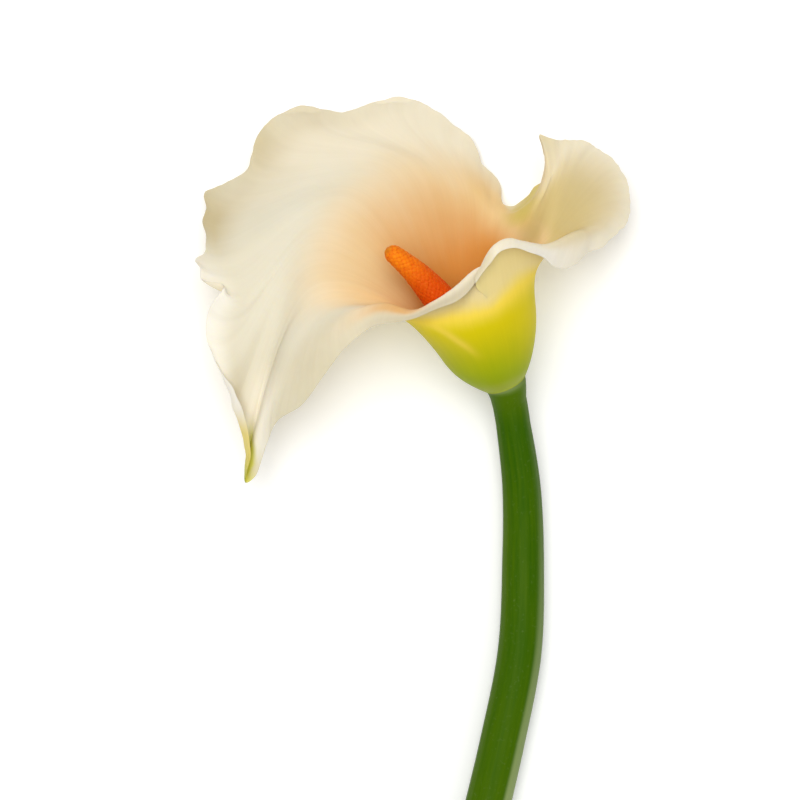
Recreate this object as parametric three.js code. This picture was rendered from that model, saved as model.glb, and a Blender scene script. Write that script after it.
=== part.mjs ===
// A calla lily flower, cut and laid on its back: a green stem, the cream spathe that rolls into a
// funnel at its top, and the orange spadix in the funnel.
//
// Lengths are in millimetres and angles in degrees. +Z points up from the table, +Y runs from the cut
// end of the stem towards the bloom, and +X is to the right as the flower is seen from above.

import * as THREE from 'three';

// ---------------------------------------------------------------- driving sizes

const CENTRE = { x: 4, y: -51.2 }; // middle of the whole flower on the table, which becomes the origin
const GAP = 0.3; // clearance between neighbouring pieces

// The neck is the flat joint on which the spathe and the spadix stand on the stem.
const NECK = { at: [29.5, 5, 18], left: 25, up: 22, radius: 6 };

// The stem's line from its cut end to just below the neck: x, y, height of its underside, radius.
const STEM_LINE = [
  [7, -187.5, 0, 6.5],
  [14.5, -159, 0, 6.5],
  [22.5, -125, 0, 6.5],
  [29, -97.5, 0, 6.4],
  [34, -71.5, 0, 6.3],
  [35, -45.5, 0, 6],
  [34.5, -25, 2.2, 5.5],
  [32, -7, 7.7, 4.9],
  [30.5, 0.5, 10.8, 5],
];
const STEM_SIDES = 20;
const STEM_STEPS = 34;
const STEM_FLARE = { back: 2, radius: 5.4 }; // where the stem starts to widen into the neck

// The spadix's line above the neck, x, y, z, and its radius at even steps from the base to the tip.
const SPADIX_LINE = [
  [26, 9.5, 20.5],
  [20.5, 17.5, 27],
  [11.5, 27.3, 33],
  [3.6, 35.6, 37.5],
  [-3.7, 41.3, 41.5],
];
const SPADIX_RADII = [3.5, 4.1, 4.4, 4.5, 4.25, 3.15, 2.2];
const SPADIX_TIP = 2.6; // length of its rounded end
const FLORETS_ROUND = 13;
const FLORET_ROWS = 46;
const FLORET_HEIGHT = 0.32;

// The tube of the spathe: rings at a share of the way from the neck to the margin.
const TUBE = [
  { rise: 0, at: NECK.at, radius: 6.1, left: NECK.left, up: NECK.up },
  { rise: 0.1, at: [26, 11, 21], radius: 11.5, left: 17, up: 25 },
  { rise: 0.21, at: [23.5, 19, 25], radius: 14.9, left: 16, up: 27 },
  { rise: 0.33, at: [20, 27, 29.5], radius: 17.8, left: 18, up: 29 },
];

// The tube's direction, in turns round it from the front, for a turn round the wider sheet above.
const DIRECTION = [
  [-0.03, -0.07],
  [0, -0.035],
  [0.1, 0.085],
  [0.2, 0.21],
  [0.3, 0.265],
  [0.4, 0.31],
  [0.5, 0.395],
  [0.6, 0.49],
  [0.7, 0.585],
  [0.8, 0.705],
  [0.88, 0.77],
  [0.94, 0.85],
  [1, 0.965],
  [1.03, 1],
];

// Above the tube the sheet passes through three free lines. Each runs once round the flower, from the
// overlapped edge at the front, by the left, the back and the right, to the edge that laps over it.
// A point is its turn, from 0 to 1 once round, then x, y and z.
const THROAT_RISE = 0.6;
const THROAT = [
  [-0.03, 27, 28, 47.5],
  [0, 24, 27, 48.5],
  [0.07, 16, 25.5, 47],
  [0.15, 4, 23, 42.5],
  [0.22, -9.5, 25, 36],
  [0.3, -22.5, 25.5, 31],
  [0.36, -26, 31.5, 28.5],
  [0.42, -24.5, 43, 25],
  [0.5, -14, 58.5, 19],
  [0.58, 4, 65.5, 13],
  [0.64, 17.5, 59.5, 11],
  [0.7, 27, 50.5, 13.5],
  [0.75, 34.5, 50, 21],
  [0.785, 39.5, 49.5, 29],
  [0.85, 42, 44, 32.5],
  [0.91, 38.5, 38, 37],
  [0.955, 32, 35, 45],
  [1, 24, 27, 48.5],
  [1.03, 20.5, 26.5, 49.5],
];

const ROLL_RISE = 0.86;
const ROLL = [
  // the front lip
  [-0.03, 27.5, 35.5, 48.5],
  [0, 24.5, 36, 49.5],
  [0.03, 21, 35, 50.5],
  [0.05, 19, 33.5, 51],
  [0.07, 16.5, 31, 51],
  [0.11, 10, 26.5, 48.5],
  [0.15, 2.5, 24, 45.5],
  [0.18, -5, 26.5, 41.5],
  // along the lower left to the rolled tip
  [0.215, -15, 22, 37.5],
  [0.25, -23, 14, 32.5],
  [0.28, -31, 5.5, 28.5],
  [0.305, -37, -2, 25],
  [0.325, -40, -9, 21],
  [0.34, -41.8, -15.5, 16],
  [0.352, -43.3, -17, 15.5],
  [0.365, -43.9, -13.5, 17],
  [0.383, -44.2, -8, 20],
  // up the left side and over the crown
  [0.397, -46, -1, 22.5],
  [0.412, -46.5, 6.5, 25],
  [0.435, -47, 18, 26],
  [0.46, -44.5, 28, 27],
  [0.485, -48, 38.5, 24],
  [0.51, -49, 49, 17],
  [0.54, -39, 62, 11],
  [0.57, -28.5, 75.5, 5],
  [0.6, -14, 77.5, 4.5],
  [0.63, 0, 80.5, 3.5],
  [0.66, 17, 71, 5],
  [0.69, 26, 58.5, 6],
  // the notch and the lobe folded back at the right
  [0.715, 31.5, 53, 11],
  [0.74, 37.5, 57, 21],
  [0.765, 40, 63, 27],
  [0.785, 44, 66, 25.5],
  [0.81, 51, 66.5, 21.5],
  [0.83, 57, 62.5, 18.5],
  [0.85, 59.5, 55, 19],
  [0.87, 56, 48.5, 23],
  [0.89, 49, 45, 31],
  [0.915, 40.5, 42, 39.5],
  [0.94, 33.5, 42.5, 47.5],
  [0.96, 29, 43, 52],
  [0.975, 26, 41.5, 54],
  [0.99, 24, 39, 54],
  [1.005, 22.5, 36, 53.5],
  [1.03, 20, 31.5, 53],
];

const MARGIN = [
  // the front lip
  [-0.03, 27.5, 39, 49.5],
  [0, 24.5, 38, 50.5],
  [0.02, 22, 34, 51.5],
  [0.04, 19.5, 30.5, 52],
  [0.07, 16, 27, 52.5],
  [0.11, 10, 24.5, 50.5],
  [0.15, 2, 21.5, 46.5],
  [0.175, -5.5, 20.5, 42],
  [0.2, -10, 18.5, 38],
  // along the lower left to the rolled tip
  [0.22, -15.5, 14, 34],
  [0.24, -21, 7, 30],
  [0.26, -27, -1, 26],
  [0.28, -34, -5.5, 23],
  [0.3, -37, -11, 20],
  [0.318, -39, -17, 18],
  [0.333, -40.7, -21.5, 16],
  [0.345, -43.5, -23.5, 14.5],
  [0.356, -43.5, -21, 19],
  [0.368, -42, -15.5, 23],
  [0.38, -42.5, -8.5, 26],
  // up the left side to the spur
  [0.392, -44.5, -1.5, 28],
  [0.405, -47, 4, 29],
  [0.42, -51.5, 10.5, 28],
  [0.435, -54, 18.5, 27],
  [0.45, -52.5, 26.5, 28.5],
  [0.46, -49, 32, 31],
  [0.47, -55.5, 34.5, 29],
  [0.48, -57.5, 40, 24],
  [0.49, -55.5, 42.5, 17],
  [0.505, -55.5, 50.5, 11],
  [0.52, -55.5, 58, 8],
  // over the crown, which touches the table
  [0.53, -49.5, 61.5, 7],
  [0.54, -42.5, 66, 7.5],
  [0.552, -41.5, 73, 5],
  [0.565, -37, 80, 1.5],
  [0.58, -27.5, 84, -2.5],
  [0.597, -16.5, 82, 1.5],
  [0.61, -10, 84, 1],
  [0.625, -1.5, 86.5, -2.5],
  [0.64, 7, 84.5, 0.5],
  [0.653, 14.5, 79.5, 1.5],
  [0.663, 20, 75, 2.5],
  [0.68, 23.5, 67, 2],
  [0.692, 28, 63, 0.5],
  // the notch and the lobe folded back at the right
  [0.703, 28.5, 56, 3],
  [0.715, 33, 55, 8],
  [0.728, 37.5, 59, 16],
  [0.74, 40.5, 61.5, 22],
  [0.755, 41, 67, 24],
  [0.77, 38.5, 73.5, 27],
  [0.783, 44, 72.5, 23],
  [0.8, 51.5, 72.5, 19],
  [0.815, 57.5, 69.5, 16],
  [0.83, 62.5, 64.5, 14],
  [0.845, 65, 56, 14],
  [0.86, 63, 48.5, 15],
  [0.873, 57, 42.5, 20],
  [0.885, 49, 38, 27],
  [0.9, 43, 36.5, 34],
  // the edge that laps over the front lip
  [0.917, 39, 39, 41],
  [0.935, 35, 40, 47.5],
  [0.95, 31, 41, 52],
  [0.965, 27, 40, 54.5],
  [0.98, 24.5, 37, 55],
  [1, 23, 35, 55],
  [1.03, 20, 30.5, 54],
];

// The spathe's wall: its thickness at a share of the way from the neck to the margin.
const WALL = [
  [0, 1.3],
  [0.33, 1],
  [0.86, 0.75],
  [1, 0.65],
];
// The share of the way up at which the two edges part, and at which one fully laps over the other.
const PART_RISE = 0.6;
const LAP_START = 0.72;
const LAP_RISE = 0.88;
const LAP = 0.012; // turns that each edge runs past the front
const PARTING = 0.005; // turns by which each edge first draws back
const SEAM_BLEND = 0.1; // share of a turn over which the closed tube's edges are eased together
const SPATHE_COLUMNS = 144;
const SPATHE_RISES = [0, 0.05, 0.1, 0.21, 0.33, 0.46, 0.6, 0.7, 0.78, 0.86, 0.91, 0.955, 1];

const COLOURS = { stem: 0x4a6f1c, spathe: 0xf0e8cb, spadix: 0xe8740f };

// ---------------------------------------------------------------- curves

const UP = new THREE.Vector3(0, 0, 1);
const STEEPEST = 2; // a curve's slope at a point, at most, in slopes of its flatter neighbouring step

/** The direction that a piece's axis points, turned left from +Y and lifted from the table. */
function axisOf({ left, up }) {
  const turned = THREE.MathUtils.degToRad(left);
  const lifted = THREE.MathUtils.degToRad(up);
  const flat = Math.cos(lifted);
  return new THREE.Vector3(-Math.sin(turned) * flat, Math.cos(turned) * flat, Math.sin(lifted));
}

/** A smooth curve through points that each have their own parameter. */
class Strand extends THREE.Curve {
  constructor(marks, points) {
    super();
    this.marks = marks;
    this.points = points;
    this.slopes = this.findSlopes();
  }

  /**
   * At each point, the slope of the parabola through it and its two neighbours, held down where a
   * short step meets a long one, so that the curve never loops back on itself.
   */
  findSlopes() {
    const { marks, points } = this;
    const last = points.length - 1;
    const steps = [];
    for (let i = 0; i < last; i += 1) {
      steps.push(points[i + 1].clone().sub(points[i]).divideScalar(marks[i + 1] - marks[i]));
    }
    const slopes = points.map((point, i) => {
      if (i === 0 || i === last) return null;
      const share = (marks[i] - marks[i - 1]) / (marks[i + 1] - marks[i - 1]);
      const most = STEEPEST * Math.min(steps[i - 1].length(), steps[i].length());
      return steps[i - 1].clone().lerp(steps[i], share).clampLength(0, most);
    });
    slopes[0] = steps[0].clone().multiplyScalar(2).sub(slopes[1]);
    slopes[last] = steps[last - 1].clone().multiplyScalar(2).sub(slopes[last - 1]);
    return slopes;
  }

  /** The point at a parameter on the same scale as the marks. */
  getPoint(mark) {
    const { marks, points, slopes } = this;
    let i = 0;
    while (i < marks.length - 2 && mark > marks[i + 1]) i += 1;
    const span = marks[i + 1] - marks[i];
    const t = (mark - marks[i]) / span;
    const bend = t * t * (3 - 2 * t);
    return points[i].clone()
      .lerp(points[i + 1], bend)
      .addScaledVector(slopes[i], span * t * (1 - t) ** 2)
      .addScaledVector(slopes[i + 1], span * t * t * (t - 1));
  }
}

/** A strand through rows of turn, x, y and z. */
function strandOf(rows) {
  return new Strand(
    rows.map(([turn]) => turn),
    rows.map(([, x, y, z]) => new THREE.Vector3(x, y, z)),
  );
}

/** The value at a place in rows of place and value, in straight steps. */
function valueAt(rows, place) {
  const next = Math.max(1, rows.findIndex(([mark]) => mark >= place));
  const [from, low] = rows[next - 1];
  const [to, high] = rows[next];
  return THREE.MathUtils.mapLinear(place, from, to, low, high);
}

// ---------------------------------------------------------------- meshes

/** A geometry from points and triangles that index them. */
function geometryOf(points, triangles) {
  const geometry = new THREE.BufferGeometry();
  geometry.setFromPoints(points);
  geometry.setIndex(triangles.flat());
  geometry.computeVertexNormals();
  return geometry;
}

/** The two triangles of a four-sided patch. */
function patch(a, b, c, d) {
  return [[a, b, c], [a, c, d]];
}

/**
 * A closed solid over rings of points with the same count, each end closed by a fan to its middle.
 * Where every other point stands out, the patches are split along their low corners.
 */
function loft(rings, start, end, bumpy = false) {
  const sides = rings[0].length;
  const points = [...rings.flat(), start, end];
  const triangles = [];
  for (let side = 0; side < sides; side += 1) {
    const next = (side + 1) % sides;
    for (let ring = 0; ring < rings.length - 1; ring += 1) {
      const low = ring * sides;
      const high = low + sides;
      const corners = [low + side, high + side, high + next, low + next];
      if (bumpy && (side + ring) % 2 === 0) corners.push(corners.shift());
      triangles.push(...patch(...corners));
    }
    const top = (rings.length - 1) * sides;
    triangles.push([points.length - 2, side, next]);
    triangles.push([points.length - 1, top + next, top + side]);
  }
  return geometryOf(points, triangles);
}

/** The points of a section across a line: the radius may differ from side to side. */
function section(centre, along, sides, radiusAt) {
  const across = along.clone().cross(UP).normalize();
  const over = across.clone().cross(along);
  return Array.from({ length: sides }, (_, side) => {
    const angle = ((side + 0.5) / sides) * 2 * Math.PI;
    const reach = radiusAt(side);
    return centre.clone()
      .addScaledVector(across, reach * Math.sin(angle))
      .addScaledVector(over, -reach * Math.cos(angle));
  });
}

// ---------------------------------------------------------------- the stem

/** The stalk lies on the table, rises to the neck and flares there into the flat joint. */
function stemGeometry() {
  const apothem = Math.cos(Math.PI / STEM_SIDES);
  const marks = STEM_LINE.map((_, i) => i / (STEM_LINE.length - 1));
  const line = new Strand(
    marks,
    STEM_LINE.map(([x, y, under]) => new THREE.Vector3(x, y, under)),
  );
  const radii = STEM_LINE.map((row, i) => [marks[i], row[3]]);
  const centreAt = (mark) => {
    const centre = line.getPoint(mark);
    centre.z = Math.max(0, centre.z) + valueAt(radii, mark) * apothem;
    return centre;
  };
  const rings = [];
  for (let step = 0; step <= STEM_STEPS; step += 1) {
    const mark = step / STEM_STEPS;
    const behind = centreAt(Math.max(0, mark - 0.01));
    const along = centreAt(Math.min(1, mark + 0.01)).sub(behind).normalize();
    const radius = valueAt(radii, mark);
    rings.push(section(centreAt(mark), along, STEM_SIDES, () => radius));
  }
  const axis = axisOf(NECK);
  const neck = new THREE.Vector3(...NECK.at).addScaledVector(axis, -GAP);
  const flare = neck.clone().addScaledVector(axis, -STEM_FLARE.back);
  rings.push(section(flare, axis, STEM_SIDES, () => STEM_FLARE.radius));
  rings.push(section(neck, axis, STEM_SIDES, () => NECK.radius));
  return loft(rings, centreAt(0), neck);
}

// ---------------------------------------------------------------- the spadix

/** The finger of florets: a round-tipped rod whose surface rises and falls from floret to floret. */
function spadixGeometry() {
  const axis = axisOf(NECK);
  const base = new THREE.Vector3(...NECK.at);
  const line = new THREE.CatmullRomCurve3([
    base,
    ...SPADIX_LINE.map((point) => new THREE.Vector3(...point)),
  ]);
  const length = line.getLength();
  const radii = SPADIX_RADII.map((radius, i) => [i / (SPADIX_RADII.length - 1), radius]);
  const rings = [];
  for (let row = 0; row < FLORET_ROWS; row += 1) {
    const share = row / FLORET_ROWS;
    const left = (1 - share) * length;
    const round = left < SPADIX_TIP ? Math.sqrt(1 - (1 - left / SPADIX_TIP) ** 2) : 1;
    const along = row === 0 ? axis : line.getTangentAt(share);
    const radius = valueAt(radii, share) * round;
    const relief = row === 0 ? 0 : FLORET_HEIGHT * round;
    rings.push(section(line.getPointAt(share), along, 2 * FLORETS_ROUND, (side) => (
      radius + relief * ((side + row) % 2 ? -0.5 : 0.5)
    )));
  }
  return loft(rings, base, line.getPoint(1), true);
}

// ---------------------------------------------------------------- the spathe

const direction = new Strand(
  DIRECTION.map(([turn]) => turn),
  DIRECTION.map(([, share]) => new THREE.Vector3(share, 0, 0)),
);

/** The point of a tube ring at a turn, counted from the front by the left. */
function ringPoint({ at, radius, left, up }, turn) {
  const axis = axisOf({ left, up });
  const front = UP.clone().addScaledVector(axis, -axis.z).normalize();
  const side = front.clone().cross(axis);
  const angle = direction.getPoint(turn).x * 2 * Math.PI;
  return new THREE.Vector3(...at)
    .addScaledVector(front, radius * Math.cos(angle))
    .addScaledVector(side, radius * Math.sin(angle));
}

const throat = strandOf(THROAT);
const roll = strandOf(ROLL);
const margin = strandOf(MARGIN);

/** The line up the sheet at a turn, from the neck to the margin. */
function ribAt(turn) {
  return new Strand(
    [...TUBE.map(({ rise }) => rise), THROAT_RISE, ROLL_RISE, 1],
    [
      ...TUBE.map((ring) => ringPoint(ring, turn)),
      throat.getPoint(turn),
      roll.getPoint(turn),
      margin.getPoint(turn),
    ],
  );
}

/** How far past the front each edge runs at a share of the way up. */
function lapAt(rise) {
  const lapped = THREE.MathUtils.smoothstep(rise, LAP_START, LAP_RISE);
  const parted = THREE.MathUtils.smoothstep(rise, PART_RISE, LAP_START) * (1 - lapped);
  return LAP * lapped - PARTING * parted;
}

/** One row of points across the middle of the sheet. Below the parting its two ends meet. */
function sheetRow(rise) {
  const lap = lapAt(rise);
  const row = Array.from({ length: SPATHE_COLUMNS + 1 }, (_, column) => (
    ribAt(-lap + (column / SPATHE_COLUMNS) * (1 + 2 * lap)).getPoint(rise)
  ));
  const closed = 1 - THREE.MathUtils.smoothstep(rise, PART_RISE, PART_RISE + SEAM_BLEND);
  const opening = row[SPATHE_COLUMNS].clone().sub(row[0]);
  row.forEach((point, column) => {
    const turn = column / SPATHE_COLUMNS;
    const near = 1 - THREE.MathUtils.smoothstep(turn, 0, SEAM_BLEND);
    const far = THREE.MathUtils.smoothstep(turn, 1 - SEAM_BLEND, 1);
    point.addScaledVector(opening, 0.5 * closed * (near - far));
  });
  return row;
}

/** The direction across the sheet, towards its inside, at each point of its rows. */
function sheetNormals(rows) {
  const normals = rows.map((row) => row.map(() => new THREE.Vector3()));
  for (let i = 0; i < rows.length - 1; i += 1) {
    for (let j = 0; j < SPATHE_COLUMNS; j += 1) {
      const rising = rows[i + 1][j + 1].clone().sub(rows[i][j]);
      const turning = rows[i + 1][j].clone().sub(rows[i][j + 1]);
      const across = rising.cross(turning).normalize();
      [[i, j], [i, j + 1], [i + 1, j], [i + 1, j + 1]].forEach(([a, b]) => normals[a][b].add(across));
    }
  }
  normals.forEach((row, i) => {
    if (SPATHE_RISES[i] <= PART_RISE) {
      row[0].add(row[SPATHE_COLUMNS]);
      row[SPATHE_COLUMNS].copy(row[0]);
    }
  });
  const axis = axisOf(NECK);
  normals[0].forEach((normal) => normal.addScaledVector(axis, -normal.dot(axis)));
  normals.flat().forEach((normal) => normal.normalize());
  return normals;
}

/** The sheet as a solid: an inner and an outer face split alike, and a rim round all its edges. */
function spatheGeometry() {
  const rows = SPATHE_RISES.map(sheetRow);
  const normals = sheetNormals(rows);
  const points = [];
  const inner = [];
  const outer = [];
  rows.forEach((row, i) => {
    const wall = valueAt(WALL, SPATHE_RISES[i]);
    const whole = SPATHE_RISES[i] <= PART_RISE;
    inner.push([]);
    outer.push([]);
    row.forEach((point, j) => {
      if (whole && j === SPATHE_COLUMNS) {
        inner[i].push(inner[i][0]);
        outer[i].push(outer[i][0]);
        return;
      }
      const inside = point.clone().addScaledVector(normals[i][j], wall);
      const outside = point.clone();
      outside.z = Math.max(0, outside.z);
      inside.z = Math.max(wall, inside.z);
      inner[i].push(points.push(inside) - 1);
      outer[i].push(points.push(outside) - 1);
    });
  });
  const triangles = [];
  const top = rows.length - 1;
  for (let j = 0; j < SPATHE_COLUMNS; j += 1) {
    for (let i = 0; i < top; i += 1) {
      triangles.push(...patch(inner[i][j], inner[i][j + 1], inner[i + 1][j + 1], inner[i + 1][j]));
      triangles.push(...patch(outer[i][j], outer[i][j + 1], outer[i + 1][j + 1], outer[i + 1][j])
        .map(([a, b, c]) => [a, c, b]));
    }
    triangles.push(...patch(inner[0][j], outer[0][j], outer[0][j + 1], inner[0][j + 1]));
    triangles.push(...patch(inner[top][j], inner[top][j + 1], outer[top][j + 1], outer[top][j]));
  }
  for (let i = SPATHE_RISES.indexOf(PART_RISE); i < top; i += 1) {
    const j = SPATHE_COLUMNS;
    triangles.push(...patch(inner[i][0], inner[i + 1][0], outer[i + 1][0], outer[i][0]));
    triangles.push(...patch(inner[i][j], outer[i][j], outer[i + 1][j], inner[i + 1][j]));
  }
  return geometryOf(points, triangles);
}

// ---------------------------------------------------------------- the flower

/** A named piece in its own colour and finish. */
function piece(name, geometry, roughness) {
  const material = new THREE.MeshStandardMaterial({ color: COLOURS[name], roughness, metalness: 0 });
  const mesh = new THREE.Mesh(geometry, material);
  mesh.name = name;
  return mesh;
}

const flower = new THREE.Group();
flower.add(
  piece('stem', stemGeometry(), 0.45),
  piece('spathe', spatheGeometry(), 0.5),
  piece('spadix', spadixGeometry(), 0.65),
);
flower.position.set(-CENTRE.x, -CENTRE.y, 0);

export default flower;
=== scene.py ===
"""A calla lily flower, cut and laid on its back on a pale table.

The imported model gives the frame: metres, +Z up from the table, +Y along the stem from its cut end
towards the bloom. The three grown pieces are shaped here with their full detail, in the place of
the plain solids: the green stem, the cream spathe rolled into a funnel, and the orange spadix.
"""

import logging
import math
from dataclasses import dataclass
from enum import Enum
from functools import reduce

import bpy
import numpy as np
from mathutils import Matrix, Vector
from mathutils.kdtree import KDTree
from numpy.typing import NDArray


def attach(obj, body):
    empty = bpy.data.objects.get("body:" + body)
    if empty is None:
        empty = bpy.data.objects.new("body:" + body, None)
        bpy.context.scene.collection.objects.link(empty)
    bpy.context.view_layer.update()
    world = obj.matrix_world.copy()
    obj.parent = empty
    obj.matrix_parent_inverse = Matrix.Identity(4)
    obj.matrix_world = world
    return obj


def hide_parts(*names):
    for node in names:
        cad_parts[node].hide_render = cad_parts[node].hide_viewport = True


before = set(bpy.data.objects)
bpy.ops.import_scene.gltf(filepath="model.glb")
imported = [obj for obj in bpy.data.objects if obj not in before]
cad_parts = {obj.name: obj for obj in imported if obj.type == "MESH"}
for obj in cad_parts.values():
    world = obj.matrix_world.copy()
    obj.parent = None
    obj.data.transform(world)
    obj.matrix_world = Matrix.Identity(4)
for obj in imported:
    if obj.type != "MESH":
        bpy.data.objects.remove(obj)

LOG = logging.getLogger("calla_lily")

Values = NDArray[np.float64]
Points = NDArray[np.float64]
Numbers = NDArray[np.int64]
Rows = tuple[tuple[float, ...], ...]
Spot = tuple[Numbers, Numbers]
Socket = bpy.types.NodeSocket

MM = 0.001  # one millimetre in metres
CENTRE = np.array([4.0, -51.2, 0.0])  # middle of the flower on the table, in millimetres
UP = np.array([0.0, 0.0, 1.0])
TURN = 2.0 * np.pi
TINY = 1e-12
SEED = 7


# ---------------------------------------------------------------- curves and small sums


def smoothstep(values: Values | float, foot: float, head: float) -> Values:
    """Ease values from 0 at the foot to 1 at the head.

    Args:
        values: The values to ease.
        foot: Where the result leaves 0.
        head: Where the result reaches 1. Where it is less than the foot, the result falls.

    Returns:
        The eased shares, from 0 to 1.
    """
    share = np.clip((np.asarray(values, float) - foot) / (head - foot), 0.0, 1.0)
    return share * share * (3.0 - 2.0 * share)


def swell(values: Values, middle: float | Values, width: float) -> Values:
    """Return a smooth swell that is 1 at its middle and fades out on both sides.

    Args:
        values: Where to read it.
        middle: The value at its top.
        width: How far from the middle it has fallen to about a third.

    Returns:
        Heights from 0 to 1.
    """
    return np.exp(-(((values - middle) / width) ** 2))


def waves(places: Values, spacings: tuple[float, ...], seed: int) -> Values:
    """Add up sine waves with seeded phases, for small unevenness that repeats each run.

    Args:
        places: Where to read the waves.
        spacings: The length of each wave, on the scale of the places.
        seed: The seed of the phases.

    Returns:
        Heights of about -1 to 1.
    """
    rng = np.random.default_rng(seed)
    total = np.zeros_like(places)
    for spacing in spacings:
        total += np.sin(TURN * places / spacing + rng.uniform(0.0, TURN))
    return total / len(spacings)


def settle(values: Values, times: int) -> None:
    """Ease the kinks of a row of values or points in place, with its two ends kept.

    Args:
        values: The row, along the first axis.
        times: How often it is eased.
    """
    for _ in range(times):
        values[1:-1] = (values[:-2] + 2.0 * values[1:-1] + values[2:]) / 4.0


def unit(vectors: Points) -> Points:
    """Return vectors, whose x, y and z are on the last axis, scaled to length 1."""
    return vectors / np.maximum(np.linalg.norm(vectors, axis=-1, keepdims=True), TINY)


def way(points: Points) -> Values:
    """Return how far along a line each of its points lies."""
    return np.concatenate([[0.0], np.cumsum(np.linalg.norm(np.diff(points, axis=0), axis=1))])


def axis_of(left: float, up: float) -> Points:
    """Return the direction turned left from +Y and lifted from the table.

    Args:
        left: The turn to the left, in degrees.
        up: The lift from the table, in degrees.

    Returns:
        A vector of length 1.
    """
    turned, lifted = math.radians(left), math.radians(up)
    flat = math.cos(lifted)
    return np.array([-math.sin(turned) * flat, math.cos(turned) * flat, math.sin(lifted)])


class Strand:
    """A smooth curve, or a sheaf of curves side by side, through knots at given marks."""

    STEEPEST = 2.0  # the fastest pace at a knot, as a multiple of the slower step beside it

    def __init__(self, marks: Values, knots: Points) -> None:
        """Fit the curve.

        Args:
            marks: The parameter of each knot, rising.
            knots: The points, with the knots along the first axis and x, y, z along the last.
        """
        self.marks = np.asarray(marks, float)
        self.knots = np.asarray(knots, float)
        self.slopes = self._slopes()

    @classmethod
    def of(cls, rows: Rows) -> "Strand":
        """Return the curve through rows of a mark and then coordinates."""
        table = np.array(rows, float)
        return cls(table[:, 0], table[:, 1:])

    def _wide(self, values: Values) -> Values:
        """Return one value for each knot or step, shaped to go with the knots' points."""
        return values.reshape((-1,) + (1,) * (self.knots.ndim - 1))

    def _slopes(self) -> Points:
        """Work out how the curve runs through each knot.

        Returns:
            Each knot's slope: its parabola's, held down where a short step meets a long one.
        """
        spans = self._wide(np.diff(self.marks))
        steps = np.diff(self.knots, axis=0) / spans
        pace = np.linalg.norm(steps, axis=-1, keepdims=True)
        share = spans[:-1] / (spans[:-1] + spans[1:])
        inner = steps[:-1] * (1.0 - share) + steps[1:] * share
        most = self.STEEPEST * np.minimum(pace[:-1], pace[1:])
        speed = np.maximum(np.linalg.norm(inner, axis=-1, keepdims=True), TINY)
        inner = inner * np.minimum(1.0, most / speed)
        first = 2.0 * steps[:1] - inner[:1]
        last = 2.0 * steps[-1:] - inner[-1:]
        return np.concatenate([first, inner, last])

    def at(self, places: Values | float) -> Points:
        """Evaluate the curve.

        Args:
            places: Parameters on the scale of the marks.

        Returns:
            One point, or one row of points for a sheaf, for each place.
        """
        places = np.atleast_1d(np.asarray(places, float))
        low = np.clip(np.searchsorted(self.marks, places) - 1, 0, len(self.marks) - 2)
        span = self._wide(self.marks[low + 1] - self.marks[low])
        t = self._wide(places - self.marks[low]) / span
        bend = t * t * (3.0 - 2.0 * t)
        return (
            self.knots[low] * (1.0 - bend)
            + self.knots[low + 1] * bend
            + self.slopes[low] * span * t * (1.0 - t) ** 2
            + self.slopes[low + 1] * span * t * t * (t - 1.0)
        )


# ---------------------------------------------------------------- colours and node trees


@dataclass(frozen=True)
class Tint:
    """A colour as a screen shows it, each part from 0 to 255."""

    red: float
    green: float
    blue: float

    def linear(self) -> tuple[float, ...]:
        """Return the colour in linear light, with full alpha."""
        parts = [part / 255.0 for part in (self.red, self.green, self.blue)]
        return (*(p / 12.92 if p <= 0.04045 else ((p + 0.055) / 1.055) ** 2.4 for p in parts), 1.0)


class Mask(Enum):
    """The named weights that a mesh carries from point to point for its finish."""

    BLUSH = "blush"
    GLOW = "glow"
    YELLOW = "yellow"
    GREEN = "green"
    LIP = "lip"
    SHADE = "shade"
    # on the stem a painted highlight stripe and a pale neck ring; on the spadix painted light and
    # shade with each floret's own tone
    HIGHLIGHT_AND_TONE = "highlight_and_tone"
    ALONG = "along"
    # painted shade over the left of the limb's inside
    LEFT_SHADE = "left_shade"
    PALE = "pale"


class Sum(Enum):
    """The sums that a node tree does."""

    ADD = "ADD"
    SUBTRACT = "SUBTRACT"
    MULTIPLY = "MULTIPLY"
    LEAST = "MINIMUM"
    MOST = "MAXIMUM"


class Lay(Enum):
    """The ways to lay one colour over another."""

    COVER = "MIX"
    STAIN = "MULTIPLY"


Feed = Socket | Tint | float


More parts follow.
